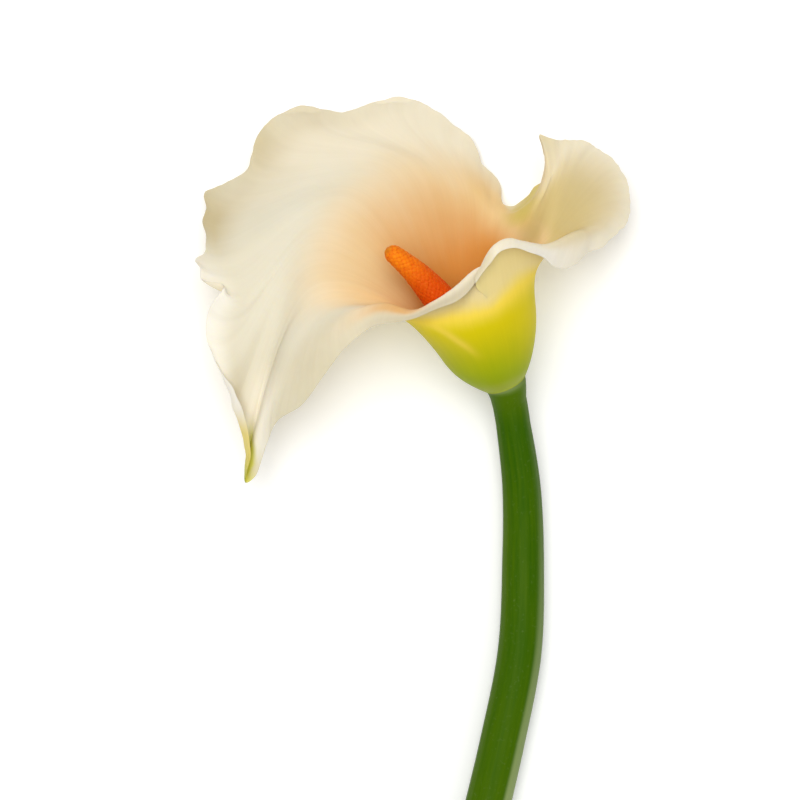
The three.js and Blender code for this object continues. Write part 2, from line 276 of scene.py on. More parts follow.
class Recipe:
    """A material's node tree, built one node at a time."""

    def __init__(self, name: str) -> None:
        """Start a material with a plain surface.

        Args:
            name: The material's name.
        """
        self.material = bpy.data.materials.new(name)
        self.material.use_nodes = True
        self.nodes = self.material.node_tree.nodes
        self.links = self.material.node_tree.links
        self.surface = self.nodes["Principled BSDF"]

    def node(self, kind: str, **settings: str) -> bpy.types.Node:
        """Add a node.

        Args:
            kind: The node's type.
            **settings: Properties to set on it.

        Returns:
            The new node.
        """
        made = self.nodes.new(kind)
        for key, value in settings.items():
            setattr(made, key, value)
        return made

    def feed(self, target: Socket, value: Feed | tuple[float, ...]) -> None:
        """Link a socket to another one, or set a tint or a constant on it.

        Args:
            target: The socket that takes the value.
            value: What it takes.
        """
        if isinstance(value, Socket):
            self.links.new(value, target)
        else:
            target.default_value = value.linear() if isinstance(value, Tint) else value

    def mask(self, mask: Mask) -> Socket:
        """Return the socket that reads one of the mesh's weights."""
        return self.node("ShaderNodeAttribute", attribute_name=mask.value).outputs["Fac"]

    def sum(self, operation: Sum, left: Feed, right: Feed) -> Socket:
        """Work out a number from two.

        Args:
            operation: The sum to do.
            left: A socket or a number.
            right: A socket or a number.

        Returns:
            The socket with the result.
        """
        made = self.node("ShaderNodeMath", operation=operation.value)
        self.feed(made.inputs[0], left)
        self.feed(made.inputs[1], right)
        return made.outputs["Value"]

    def held(self, value: Socket) -> Socket:
        """Return a value held between 0 and 1."""
        return self.sum(Sum.LEAST, self.sum(Sum.MOST, value, 0.0), 1.0)

    def blend(self, share: Feed, under: Feed, over: Feed, lay: Lay = Lay.COVER) -> Socket:
        """Lay one colour over another.

        Args:
            share: How much of the upper colour shows: a socket or a number.
            under: The lower colour: a socket or a tint.
            over: The upper colour: a socket or a tint.
            lay: How they mix.

        Returns:
            The socket with the mixed colour.
        """
        made = self.node("ShaderNodeMix", data_type="RGBA", blend_type=lay.value)
        for index, value in ((0, share), (6, under), (7, over)):
            self.feed(made.inputs[index], value)
        return made.outputs[2]

    def place(self, stretch: tuple[float, float] | None = None) -> Socket:
        """Return coordinates for a texture.

        Args:
            stretch: How far they are stretched round and along the sheet, or None for coordinates
                that run through space.

        Returns:
            The socket with the coordinates.
        """
        source = self.node("ShaderNodeTexCoord").outputs["UV" if stretch else "Object"]
        mapping = self.node("ShaderNodeMapping")
        self.feed(mapping.inputs["Scale"], (*(stretch or (1.0, 1.0)), 1.0))
        self.feed(mapping.inputs["Vector"], source)
        return mapping.outputs["Vector"]

    def noise(
        self, scale: float, detail: float, rough: float, stretch: tuple[float, float] | None = None
    ) -> Socket:
        """Add an uneven field.

        Args:
            scale: How fine it is.
            detail: How many finer layers it has.
            rough: How strong these are.
            stretch: How far it is stretched round and along the sheet, or None for one in space.

        Returns:
            The socket with values round 0.5.
        """
        made = self.node("ShaderNodeTexNoise")
        for name, value in (("Scale", scale), ("Detail", detail), ("Roughness", rough)):
            self.feed(made.inputs[name], value)
        self.feed(made.inputs["Vector"], self.place(stretch))
        return made.outputs["Fac"]

    def spread(
        self, value: Socket, source: tuple[float, float], target: tuple[float, float]
    ) -> Socket:
        """Stretch a value from one range to another.

        Args:
            value: The value to stretch.
            source: The range that it has.
            target: The range that it gets.

        Returns:
            The socket with the result.
        """
        made = self.node("ShaderNodeMapRange")
        for name, pair in (("From", source), ("To", target)):
            self.feed(made.inputs[name + " Min"], pair[0])
            self.feed(made.inputs[name + " Max"], pair[1])
        self.feed(made.inputs["Value"], value)
        return made.outputs["Result"]

    def relief(self, height: Socket, depth: float, strength: float) -> None:
        """Raise the surface by a height field.

        Args:
            height: The field.
            depth: The field's depth in metres.
            strength: How much of it shows, from 0 to 1.
        """
        bump = self.node("ShaderNodeBump")
        for name, value in (("Strength", strength), ("Distance", depth), ("Height", height)):
            self.feed(bump.inputs[name], value)
        self.feed(self.surface.inputs["Normal"], bump.outputs["Normal"])

    def gloss(self, **constants: float | tuple[float, ...]) -> None:
        """Set constants on the surface, by the names of its sockets with _ for a space."""
        for key, value in constants.items():
            self.feed(self.surface.inputs[key.replace("_", " ")], value)

    def colour(self, socket: Socket) -> None:
        """Give the surface its colour."""
        self.feed(self.surface.inputs["Base Color"], socket)


# ---------------------------------------------------------------- finishes


@dataclass(frozen=True)
class PetalFinish:
    """The skin of one face of the spathe: fine veins, a soft sheen, a little light through it."""

    name: str
    blush: Tint
    glow: Tint
    yellow: Tint
    green: Tint
    cream: Tint = Tint(240, 229, 204)
    # painted shade over the left of the limb's inside
    left_shade: Tint = Tint(227, 221, 200)
    lip: Tint = Tint(208, 197, 170)
    # paler: painted light on the inside, and the whiter top of the strip along the rolled tip
    # outside
    pale: Tint = Tint(246, 240, 226)
    shade: Tint = Tint(196, 180, 136)
    vein: Tint = Tint(176, 160, 110)
    cloud: Tint = Tint(206, 196, 160)
    drift: float = 0.07  # how far clouds push the borders of the colours

    def _drifted(self, recipe: Recipe, mask: Mask, drift: Socket) -> Socket:
        """Make the border of a weight uneven.

        Args:
            recipe: The node tree.
            mask: The weight.
            drift: How far its border moves.

        Returns:
            The socket with the uneven weight. Where the weight is 0 or 1 it stays so.
        """
        weight = recipe.mask(mask)
        slack = recipe.sum(Sum.MULTIPLY, weight, recipe.sum(Sum.SUBTRACT, 1.0, weight))
        push = recipe.sum(Sum.MULTIPLY, recipe.sum(Sum.MULTIPLY, slack, 4.0), drift)
        return recipe.held(recipe.sum(Sum.ADD, weight, push))

    def build(self) -> bpy.types.Material:
        """Make the finish, whose colours lie where the sheet's weights say.

        Returns:
            The material.
        """
        recipe = Recipe(self.name)
        fibres = recipe.noise(scale=1.0, detail=3.0, rough=0.6, stretch=(260.0, 3.0))
        clouds = recipe.noise(scale=42.0, detail=3.0, rough=0.55)
        grain = recipe.noise(scale=2600.0, detail=2.0, rough=0.5)
        drift = recipe.spread(clouds, (0.3, 0.7), (-self.drift, self.drift))
        colour = self.cream
        for mask, tint in (
            (Mask.LEFT_SHADE, self.left_shade),
            (Mask.BLUSH, self.blush),
            (Mask.GLOW, self.glow),
            (Mask.YELLOW, self.yellow),
            (Mask.GREEN, self.green),
            (Mask.LIP, self.lip),
            (Mask.PALE, self.pale),
            (Mask.SHADE, self.shade),
        ):
            crisp = mask is Mask.LIP
            share = recipe.mask(mask) if crisp else self._drifted(recipe, mask, drift)
            colour = recipe.blend(share, colour, tint)
        veins = recipe.spread(fibres, (0.35, 0.65), (0.04, 0.0))
        colour = recipe.blend(veins, colour, self.vein, Lay.STAIN)
        patches = recipe.spread(clouds, (0.35, 0.7), (0.0, 0.07))
        recipe.colour(recipe.blend(patches, colour, self.cloud, Lay.STAIN))
        raised = recipe.sum(Sum.MULTIPLY, fibres, 0.8)
        height = recipe.sum(Sum.ADD, raised, recipe.sum(Sum.MULTIPLY, grain, 0.2))
        recipe.relief(height, depth=0.0001, strength=0.22)
        recipe.gloss(
            Roughness=0.5,
            Specular_IOR_Level=0.07,
            Subsurface_Weight=0.15,
            Subsurface_Radius=(1.0, 0.72, 0.3),
            Subsurface_Scale=0.0018,
        )
        return recipe.material


@dataclass(frozen=True)
class StalkFinish:
    """The stem's skin: smooth and green, with faint streaks along it and a few paler cells."""

    name: str = "stem_skin"
    dark: Tint = Tint(40, 84, 0)
    light: Tint = Tint(84, 112, 0)
    pale: Tint = Tint(150, 166, 108)

    def build(self) -> bpy.types.Material:
        """Make the finish.

        Returns:
            The material.
        """
        recipe = Recipe(self.name)
        streaks = recipe.noise(scale=1.0, detail=4.0, rough=0.62, stretch=(34.0, 9.0))
        hairs = recipe.noise(scale=1.0, detail=2.0, rough=0.5, stretch=(150.0, 14.0))
        cells = recipe.noise(scale=900.0, detail=3.0, rough=0.6)
        broad = recipe.noise(scale=26.0, detail=2.0, rough=0.5)
        colour = self.dark
        for share, tint in (
            (recipe.spread(streaks, (0.3, 0.7), (0.1, 0.5)), self.light),
            (recipe.mask(Mask.YELLOW), self.light),
            (recipe.spread(broad, (0.4, 0.7), (0.0, 0.3)), self.dark),
            (recipe.spread(cells, (0.6, 0.78), (0.0, 0.12)), self.pale),
            # the painted highlight stripe down the right side, and the pale ring at the neck
            (recipe.mask(Mask.HIGHLIGHT_AND_TONE), self.pale),
        ):
            colour = recipe.blend(share, colour, tint)
        recipe.colour(colour)
        height = recipe.sum(Sum.ADD, hairs, recipe.sum(Sum.MULTIPLY, cells, 0.35))
        recipe.relief(height, depth=0.00012, strength=0.4)
        recipe.gloss(Roughness=0.42, Specular_IOR_Level=0.045)
        return recipe.material


@dataclass(frozen=True)
class CutFinish:
    """The stem's cut face: moist pale tissue with the ends of its fibres as darker dots."""

    name: str = "stem_cut"
    flesh: Tint = Tint(196, 212, 140)
    fibre: Tint = Tint(120, 146, 60)
    skin: Tint = Tint(120, 152, 50)

    def build(self) -> bpy.types.Material:
        """Make the finish.

        Returns:
            The material.
        """
        recipe = Recipe(self.name)
        dots = recipe.node("ShaderNodeTexVoronoi", feature="F1")
        recipe.feed(dots.inputs["Scale"], 900.0)
        recipe.feed(dots.inputs["Vector"], recipe.place())
        fleck = recipe.spread(dots.outputs["Distance"], (0.12, 0.34), (1.0, 0.0))
        cells = recipe.noise(scale=3000.0, detail=2.0, rough=0.5)
        colour = recipe.blend(recipe.spread(cells, (0.3, 0.7), (0.0, 0.3)), self.flesh, self.skin)
        colour = recipe.blend(recipe.sum(Sum.MULTIPLY, fleck, 0.6), colour, self.fibre)
        recipe.colour(recipe.blend(recipe.mask(Mask.GREEN), colour, self.skin))
        recipe.relief(recipe.sum(Sum.SUBTRACT, cells, fleck), depth=0.0002, strength=0.5)
        recipe.gloss(
            Roughness=0.3, Specular_IOR_Level=0.5, Subsurface_Weight=0.1, Subsurface_Scale=0.002
        )
        return recipe.material


@dataclass(frozen=True)
class FloretFinish:
    """The florets: painted light on each crest, painted shade in the gaps, dusted with pollen."""

    name: str = "spadix_florets"
    highlight_and_tone: Tint = Tint(248, 138, 6)
    # painted shade in the gaps between florets
    gap: Tint = Tint(216, 76, 0)
    base: Tint = Tint(228, 82, 0)
    tip: Tint = Tint(200, 126, 18)
    pollen: Tint = Tint(255, 176, 58)

    def build(self) -> bpy.types.Material:
        """Make the finish.

        Returns:
            The material.
        """
        recipe = Recipe(self.name)
        patch = recipe.noise(scale=240.0, detail=3.0, rough=0.6)
        dust = recipe.noise(scale=1900.0, detail=3.0, rough=0.65)
        highlight_and_tone = recipe.blend(recipe.mask(Mask.ALONG), self.base, self.highlight_and_tone)
        uneven = recipe.spread(patch, (0.3, 0.7), (-0.2, 0.2))
        rise = recipe.held(recipe.sum(Sum.ADD, recipe.mask(Mask.HIGHLIGHT_AND_TONE), uneven))
        # painted shade in the gaps, painted light on the crests
        colour = recipe.blend(rise, self.gap, highlight_and_tone)
        colour = recipe.blend(recipe.spread(dust, (0.55, 0.8), (0.0, 0.35)), colour, self.pollen)
        recipe.colour(recipe.blend(recipe.mask(Mask.GREEN), colour, self.tip))
        recipe.relief(dust, depth=0.00012, strength=0.6)
        recipe.gloss(
            Roughness=0.62,
            Specular_IOR_Level=0.12,
            Subsurface_Weight=0.12,
            Subsurface_Radius=(1.0, 0.35, 0.1),
            Subsurface_Scale=0.001,
        )
        return recipe.material


@dataclass(frozen=True)
class TableFinish:
    """The pale matte table top."""

    name: str = "table_top"
    tone: Tint = Tint(252, 252, 252)
    haze: Tint = Tint(244, 244, 245)
    lift: float = 0.12  # light that comes up through the table

    def build(self) -> bpy.types.Material:
        """Make the finish.

        Returns:
            The material.
        """
        recipe = Recipe(self.name)
        cloud = recipe.noise(scale=9.0, detail=2.0, rough=0.5)
        haze = recipe.spread(cloud, (0.3, 0.7), (0.0, 0.02))
        recipe.colour(recipe.blend(haze, self.tone, self.haze))
        recipe.gloss(Roughness=0.9, Specular_IOR_Level=0.1, Emission_Strength=self.lift)
        recipe.gloss(Emission_Color=self.tone.linear())
        return recipe.material


INSIDE = PetalFinish(
    name="spathe_inside",
    # on the inside, the throat's blush and glow are partly painted shade and bounce light
    blush=Tint(236, 202, 146),
    glow=Tint(216, 146, 66),
    yellow=Tint(206, 184, 118),
    green=Tint(224, 222, 58),
)
OUTSIDE = PetalFinish(
    name="spathe_outside",
    blush=Tint(230, 210, 144),
    glow=Tint(238, 210, 74),
    yellow=Tint(216, 198, 0),
    green=Tint(146, 165, 0),
)


# ---------------------------------------------------------------- meshes


def cell_corners(rows: int, columns: int) -> list[Spot]:
    """Find the corners of all cells of a grid.

    Args:
        rows: How many cells it has one way.
        columns: How many cells it has the other way.

    Returns:
        The row and column numbers of the four corners of each cell, in order round it.
    """
    grid = np.meshgrid(np.arange(rows), np.arange(columns), indexing="ij")
    i, j = (part.ravel() for part in grid)
    return [(i, j), (i, j + 1), (i + 1, j + 1), (i + 1, j)]


def smooth_object(
    name: str,
    points: Points,
    faces: Numbers,
    materials: list[bpy.types.Material],
    weights: dict[Mask, Values],
) -> bpy.types.Object:
    """Make a smooth-shaded object of four-sided faces.

    Args:
        name: The object's name.
        points: Its points, in millimetres on the table.
        faces: Four point numbers for each face, the last two alike for a triangle.
        materials: Its materials.
        weights: What the finish reads, one value for each point.

    Returns:
        The object, in the flower's own frame and linked to the scene.
    """
    mesh = bpy.data.meshes.new(name)
    cells = [tuple(face) if face[2] != face[3] else tuple(face[:3]) for face in faces.tolist()]
    mesh.from_pydata(((points - CENTRE) * MM).tolist(), [], cells)
    for material in materials:
        mesh.materials.append(material)
    mesh.polygons.foreach_set("use_smooth", np.ones(len(cells), bool))
    for mask, values in weights.items():
        layer = mesh.attributes.new(mask.value, "FLOAT", "POINT")
        layer.data.foreach_set("value", np.ascontiguousarray(values, np.float32))
    mesh.update()
    made = bpy.data.objects.new(name, mesh)
    bpy.context.scene.collection.objects.link(made)
    return made


def lay_sheet(made: bpy.types.Object, corners: Values, surfaces: Numbers) -> None:
    """Give a mesh its flat coordinates, and each face its material.

    Args:
        made: The object.
        corners: Two coordinates for each corner of each face, in order.
        surfaces: The number of the material of each face.
    """
    layer = made.data.uv_layers.new(name="sheet")
    layer.data.foreach_set("uv", np.ascontiguousarray(corners, np.float32).ravel())
    made.data.polygons.foreach_set("material_index", surfaces.astype(np.int32))


@dataclass(frozen=True)
class Neck:
    """The flat joint on which the spathe and the spadix stand on the stem, in millimetres."""

    at: tuple[float, float, float] = (29.5, 5.0, 18.0)
    left: float = 25.0
    up: float = 22.0

    def axis(self) -> Points:
        """Return the direction in which the flower stands on the stem."""
        return axis_of(self.left, self.up)


NECK = Neck()


@dataclass
class Rod:
    """A round piece swept along a line: rings of points, one after another."""

    centres: Points
    along: Points
    radii: Values
    sides: int

    def rings(self) -> tuple[Points, Points]:
        """Work out the rod's surface.

        Returns:
            The rings' points and, for each, the direction straight out from the line.
        """
        across = unit(np.cross(self.along, UP))
        over = np.cross(across, self.along)
        angles = ((np.arange(self.sides) + 0.5) / self.sides * TURN)[None, :, None]
        out = across[:, None] * np.sin(angles) - over[:, None] * np.cos(angles)
        return self.centres[:, None] + out * self.radii[:, None, None], out

    def corners(self, rings: int) -> list[Spot]:
        """Return the corners of the faces between this many rings, as ring and side numbers."""
        corners = cell_corners(rings - 1, self.sides)
        return corners[:1] + corners[:0:-1]

    def faces(self, rings: int) -> Numbers:
        """Close the rod, with a fan of triangles at either end.

        Args:
            rings: How many rings there are.

        Returns:
            Four point numbers for each face. The point after the rings is the middle of the start,
            and the next one that of the end.
        """
        hull = [i * self.sides + j % self.sides for i, j in self.corners(rings)]
        side = np.arange(self.sides)
        after = (side + 1) % self.sides
        end = (rings - 1) * self.sides
        middle = np.full(self.sides, rings * self.sides)
        start_fan = [side, after, middle, middle]
        end_fan = [end + after, end + side, middle + 1, middle + 1]
        return np.vstack([np.stack(part, axis=1) for part in (hull, start_fan, end_fan)])


# ---------------------------------------------------------------- the stem


@dataclass
class Stem:
    """The stalk: it lies on the table, rises to the neck and flares there under the spathe."""

    line: Rows = (  # x, y, height of the underside, radius
        (7.0, -187.5, 0.0, 6.5),
        (14.5, -159.0, 0.0, 6.5),
        (22.5, -125.0, 0.0, 6.5),
        (29.0, -97.5, 0.0, 6.4),
        (34.0, -71.5, 0.0, 6.3),
        (35.0, -45.5, 0.0, 6.0),
        (34.5, -25.0, 2.2, 5.5),
        (32.0, -7.0, 7.7, 4.9),
        (30.5, 0.5, 10.8, 5.0),
    )
    flat: float = math.cos(math.pi / 20.0)  # the solid's flat underside, as a share of its radius
    flare: Rows = (  # way back from the neck, radius; the last one leaves a thin seam
        (2.2, 5.35),
        (1.2, 5.6),
        (0.5, 5.86),
        (0.06, 5.98),
    )
    flare_blend: int = 13  # rings over which the flare eases into the stalk
    sides: int = 96
    steps: int = 300
    ridges: Rows = ((17, 0.6, 0.0), (37, 0.4, 1.3))  # count round the stalk, share, shift
    ridge_height: float = 0.05
    cut_rings: int = 7
    cut_sink: float = 0.35  # depth of the soft ring in the cut face
    # the painted highlight stripe runs down this side
    right: tuple[float, float, float] = (1.0, -0.15, 0.3)  # the side with the pale stripe
    left: tuple[float, float, float] = (-1.0, 0.15, 0.2)  # the side with the warm stripe

    def _sweep(self) -> Rod:
        """Work out the stalk's line and radii, up to the flare at the neck.

        Returns:
            The plain rod.
        """
        table = np.array(self.line)
        marks = np.linspace(0.0, 1.0, len(table))
        places = np.linspace(0.0, 1.0, self.steps)
        radii = np.interp(places, marks, table[:, 3])
        settle(radii, 6)
        centres = Strand(marks, table).at(places)[:, :3]
        centres[:, 2] = np.maximum(0.0, centres[:, 2]) + radii * self.flat
        axis = NECK.axis()
        flare = np.array(self.flare)
        centres = np.vstack([centres, np.array(NECK.at) - axis * flare[:, :1]])
        radii = np.append(radii, flare[:, 1])
        for row in (centres, radii):
            settle(row[-self.flare_blend :], 8)
        along = np.gradient(centres, axis=0)
        along[-1] = axis
        return Rod(centres, unit(along), radii, self.sides)

    def _cut(self, rod: Rod, first: Points) -> tuple[Points, Values]:
        """Fill the cut end with rings that shrink towards its middle.

        Args:
            rod: The plain rod.
            first: The stalk's first ring.

        Returns:
            The points of the rings, from the inside out, and how green each point is.
        """
        keep = 1.0 - np.arange(self.cut_rings, 0, -1) / (self.cut_rings + 0.2)
        sink = self.cut_sink * np.sin(np.pi * np.minimum(1.0, 1.6 * (1.0 - keep)))
        middle = rod.centres[0]
        rings = middle + (first - middle) * keep[:, None, None] + rod.along[0] * sink[:, None, None]
        return rings.reshape(-1, 3), np.repeat(smoothstep(keep, 0.78, 0.95), self.sides)

    def _stripes(self, out: Points, share: Values) -> dict[Mask, Values]:
        """Work out where the skin is paler or warmer.

        Args:
            out: The direction straight out from the line, at each point.
            share: How far along the stalk each ring is.

        Returns:
            The weights of both, for the stalk's rings.
        """
        share = share[:, None]
        low = smoothstep(share, 0.95, 0.25)
        # painted highlight: a pale stripe down the stem's right side, stronger and wider towards the
        # cut end
        right = smoothstep(out @ unit(np.array(self.right)) + 0.12 * low, 0.84, 1.0)
        left = smoothstep(out @ unit(np.array(self.left)), 0.7, 1.0)
        # the pale ring at the neck, and the painted highlight stripe
        pale = np.maximum(0.6 * smoothstep(share, 0.994, 1.0), (0.12 + 0.7 * low) * right)
        warm = np.maximum(np.maximum(0.35 * low, 0.9 * smoothstep(share, 0.93, 1.0)), 0.6 * left)
        return {Mask.HIGHLIGHT_AND_TONE: pale, Mask.YELLOW: warm}

    def build(self) -> bpy.types.Object:
        """Make the stalk and its cut end.

        Returns:
            The stem's object.
        """
        rod = self._sweep()
        rings, out = rod.rings()
        length = way(rod.centres)
        share = length / length[-1]
        angle = (np.arange(self.sides) + 0.5) / self.sides
        ridge = sum(part * np.cos(TURN * n * angle + shift) for n, part, shift in self.ridges)
        depth = self.ridge_height * smoothstep(share, 1.0, 0.93)
        rings = rings + out * (depth[:, None] * (ridge - 1.0))[:, :, None]
        rings[:, :, 2] = np.maximum(rings[:, :, 2], 0.0)
        cut, cut_green = self._cut(rod, rings[0])
        points = np.vstack([cut, rings.reshape(-1, 3), rod.centres[0], rod.centres[-1]])
        skin = np.ones(len(rings) * self.sides)
        weights = {Mask.GREEN: np.concatenate([cut_green, skin, [0.0, 1.0]])}
        for mask, values in self._stripes(out, share).items():
            weights[mask] = np.concatenate([np.zeros(len(cut)), values.ravel(), [0.0, 0.0]])
        total = len(rings) + self.cut_rings
        faces = rod.faces(total)
        finishes = [StalkFinish().build(), CutFinish().build()]
        made = smooth_object("stalk", points, faces, finishes, weights)

        surfaces = np.zeros(len(faces), np.int64)
        surfaces[: len(cut)] = 1
        surfaces[-2 * self.sides : -self.sides] = 1
        heights = np.concatenate([np.zeros(self.cut_rings), share])
        around = np.append(angle, 1.0 + angle[0])
        sheet = [np.stack([around[j], heights[i]], axis=1) for i, j in rod.corners(total)]
        fans = np.tile([0.5, 1.0], (6 * self.sides, 1))
        lay_sheet(made, np.vstack([np.stack(sheet, axis=1).reshape(-1, 2), fans]), surfaces)
        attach(made, "root")
        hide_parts("stem")
        LOG.info("stem: %d points, %.0f mm long", len(points), length[-1])
        return made


# ---------------------------------------------------------------- the spadix


@dataclass
class Spadix:
    """The finger of florets: a tapered rod whose surface is packed with small round bumps."""

    line: Rows = (
        (29.5, 5.0, 18.0),
        (26.0, 9.5, 20.5),
        (20.5, 17.5, 27.0),
        (11.5, 27.3, 33.0),
        (3.6, 35.6, 37.5),
        (-3.7, 41.3, 41.5),
    )
    radii: tuple[float, ...] = (3.5, 4.1, 4.4, 4.5, 4.25, 3.15, 2.2)
    radius_blend: int = 15  # rings to either side over which a radius is evened out
    tip: float = 2.6  # length of the round end
    sides: int = 312
    steps: int = 380
    last: float = 0.99995  # where the last ring is, as a share of the length
    crowding: float = 1.25  # how much closer the rings are towards the end
    spacing: float = 1.2  # distance between the middles of neighbouring florets
    packing: float = 0.866  # a floret's share of the surface, for a spacing of 1
    height: float = 0.3
    uneven: tuple[float, float] = (0.85, 0.3)  # a floret's least height, and what chance adds
    sunk: float = 0.6  # share of the height that lies below the plain rod's surface
    lean: float = 1.4  # how far the florets of the round end lean forwards
    reach: float = 0.62  # radius of a floret, as a share of the spacing
    pit: tuple[float, float] = (0.16, 0.22)  # depth and width of the dimple on each floret
    stray: tuple[float, float] = (0.07, 0.05)  # how far a floret strays along and round the finger
    turn: float = 137.508  # degrees from one floret to the next up the spiral

    def _middles(self, length: Values, rings: Points) -> Points:
        """Return the middle of every floret, in a spiral up the finger with a little unevenness.

        Args:
            length: Millimetres along the finger, for each ring.
            rings: The rings of the plain rod.

        Returns:
            Points on the rod's surface.
        """
        rng = np.random.default_rng(SEED)
        girth = np.linalg.norm(rings - np.roll(rings, 1, axis=1), axis=-1).sum(axis=1)
        bands = 0.5 * (girth[1:] + girth[:-1]) * np.diff(length)
        area = np.concatenate([[0.0], np.cumsum(bands)])
        share = self.packing * self.spacing**2
        number = np.arange(int(area[-1] / share) + 1)
        ring = np.interp((number + 0.5) * share, area, np.arange(len(length)))
        along = rng.normal(0.0, self.stray[0], len(number)) * self.spacing
        ring = np.rint(ring + along / np.mean(np.diff(length)))
        ring = np.clip(ring, 0, len(length) - 1).astype(int)
        round_it = rng.normal(0.0, self.stray[1], len(number)) * self.spacing / girth[ring]
        angle = (number * self.turn / 360.0 + round_it) % 1.0
        return rings[ring, np.rint(angle * self.sides).astype(int) % self.sides]

    def _florets(self, rings: Points, middles: Points) -> tuple[Values, Values]:
        """Return the florets' height over the surface, and a random share for each floret.

        Args:
            rings: The rings of the plain rod.
            middles: The florets' middles.

        Returns:
            Heights from 0 in the gaps to 1 on the crests, and the floret's own share at each point.
        """
        tree = KDTree(len(middles))
        for index, middle in enumerate(middles.tolist()):
            tree.insert(middle, index)
        tree.balance()
        found = [tree.find(point)[1:] for point in rings.reshape(-1, 3).tolist()]
        nearest, gap = (np.array(part).reshape(rings.shape[:2]) for part in zip(*found))
        gap = gap / (self.reach * self.spacing)
        dome = np.sqrt(np.clip(1.0 - gap**2, 0.0, 1.0))
        own = np.random.default_rng(SEED + 1).uniform(0.0, 1.0, len(middles))
        return dome - self.pit[0] * swell(gap, 0.0, self.pit[1]), own[nearest]

    def _sweep(self) -> tuple[Rod, Values, Values]:
        """Work out the plain finger.

        Returns:
            The rod, the way along it to each ring, and each ring's share of the full radius.
        """
        knots = np.array(self.line)
        marks = way(knots)
        fine = Strand(marks, knots).at(np.linspace(0.0, marks[-1], 2000))
        run = way(fine)
        total = run[-1]
        length = total * (1.0 - (1.0 - np.linspace(0.0, 1.0, self.steps)) ** self.crowding)
        length[-1] = total * self.last
        centres = np.stack([np.interp(length, run, part) for part in fine.T], axis=1)
        along = unit(np.gradient(centres, length, axis=0))
        radii = np.interp(length / total, np.linspace(0.0, 1.0, len(self.radii)), self.radii)
        reach = 2 * self.radius_blend + 1
        padded = np.pad(radii, self.radius_blend, mode="edge")
        radii = np.convolve(padded, np.ones(reach) / reach, mode="valid")
        blunt = 1.0 - np.minimum((total - length) / self.tip, 1.0)
        cap = np.sqrt(np.clip(1.0 - blunt**2, 0.0, 1.0))
        return Rod(centres, along, radii * np.maximum(cap, 1e-3), self.sides), length, cap

    def build(self) -> bpy.types.Object:
        """Make the spadix.

        Returns:
            The spadix's object.
        """
        rod, length, cap = self._sweep()
        rings, out = rod.rings()
        bumps, own = self._florets(rings, self._middles(length, rings))
        least, chance = self.uneven
        lift = self.height * (bumps * (least + chance * own) - self.sunk) * np.sqrt(cap)[:, None]
        lift[:3] = 0.0  # the foot stays plain, where it stands on the stem
        normals = unit(out + rod.along[:, None] * (1.0 - cap)[:, None, None] * self.lean)
        rings = rings + normals * lift[:, :, None]
        ends = [rod.centres[:1], rod.centres[-1:] + rod.along[-1:] * 0.02]
        points = np.vstack([rings.reshape(-1, 3), *ends])
        # painted light on the florets' crests and painted shade in their gaps, with each floret's
        # own tone at random
        highlight_and_tone = np.clip(0.25 + 0.55 * bumps + 0.3 * (own - 0.5), 0.0, 1.0)
        total = length[-1] / self.last
        bright = np.repeat(smoothstep(length / total, 0.66, 0.98), self.sides)
        tip = np.repeat(0.55 * smoothstep(length - total, -1.2, -0.1), self.sides)
        weights = {
            Mask.HIGHLIGHT_AND_TONE: np.append(highlight_and_tone.ravel(), [0.5, 0.5]),
            Mask.ALONG: np.append(bright, [0.0, 1.0]),
            Mask.GREEN: np.append(tip, [0.0, 0.6]),
        }
        faces = rod.faces(self.steps)
        made = smooth_object("florets", points, faces, [FloretFinish().build()], weights)
        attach(made, "root")
        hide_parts("spadix")
        LOG.info("spadix: %d points, %.1f mm long", len(points), total)
        return made


# ---------------------------------------------------------------- the spathe's colours


@dataclass(frozen=True)
class Swell:
    """An extent that is full in its middle and fades out over its width on both sides."""

    middle: float
    width: float

    def over(self, values: Values) -> Values:
        """Return how full it is at each value."""
        return swell(values, self.middle, self.width)


@dataclass(frozen=True)
class Slope:
    """An extent that is empty at its foot and full from its head on, to either side."""

    foot: float
    head: float

    def over(self, values: Values) -> Values:
        """Return how full it is at each value."""
        return smoothstep(values, self.foot, self.head)


@dataclass(frozen=True)
class Band:
    """An extent that fills up from foot to head and empties again from brow to end."""

    foot: float
    head: float
    brow: float
    end: float

    def over(self, values: Values) -> Values:
        """Return how full it is at each value."""
        return smoothstep(values, self.foot, self.head) * smoothstep(values, self.end, self.brow)


Extent = Swell | Slope | Band


@dataclass(frozen=True)
class Places:
    """Where the points of the sheet lie, each field with one value for each point."""

    turn: Values
    rise: Values
    tip: Values  # millimetres from the spathe's tip
    uneven: Values  # a small shift of the borders up or down the sheet
    furrow: Values  # how far a point is in the yellow furrow along the tip


@dataclass(frozen=True)
class Patch:
    """A patch on the sheet, which shows where its extents round it, up it and from its tip meet."""

    strength: float
    turn: Extent | None = None
    rise: Extent | None = None
    tip: Extent | None = None

    def over(self, at: Places) -> Values:
        """Work out how strong the patch is.

        Args:
            at: The places of the points.

        Returns:
            Its strength at each point.
        """
        strength = np.full_like(at.rise, self.strength)
        for extent, values in ((self.turn, at.turn), (self.rise, at.rise), (self.tip, at.tip)):
            if extent is not None:
                strength = strength * extent.over(values)
        return strength


Patches = tuple[Patch, ...]


def added(patches: Patches, at: Places) -> Values:
    """Return the strengths of all patches added up."""
    return sum(patch.over(at) for patch in patches)


def strongest(*fields: Values) -> Values:
    """Return the strongest of some fields, point by point."""
    return reduce(np.maximum, fields)


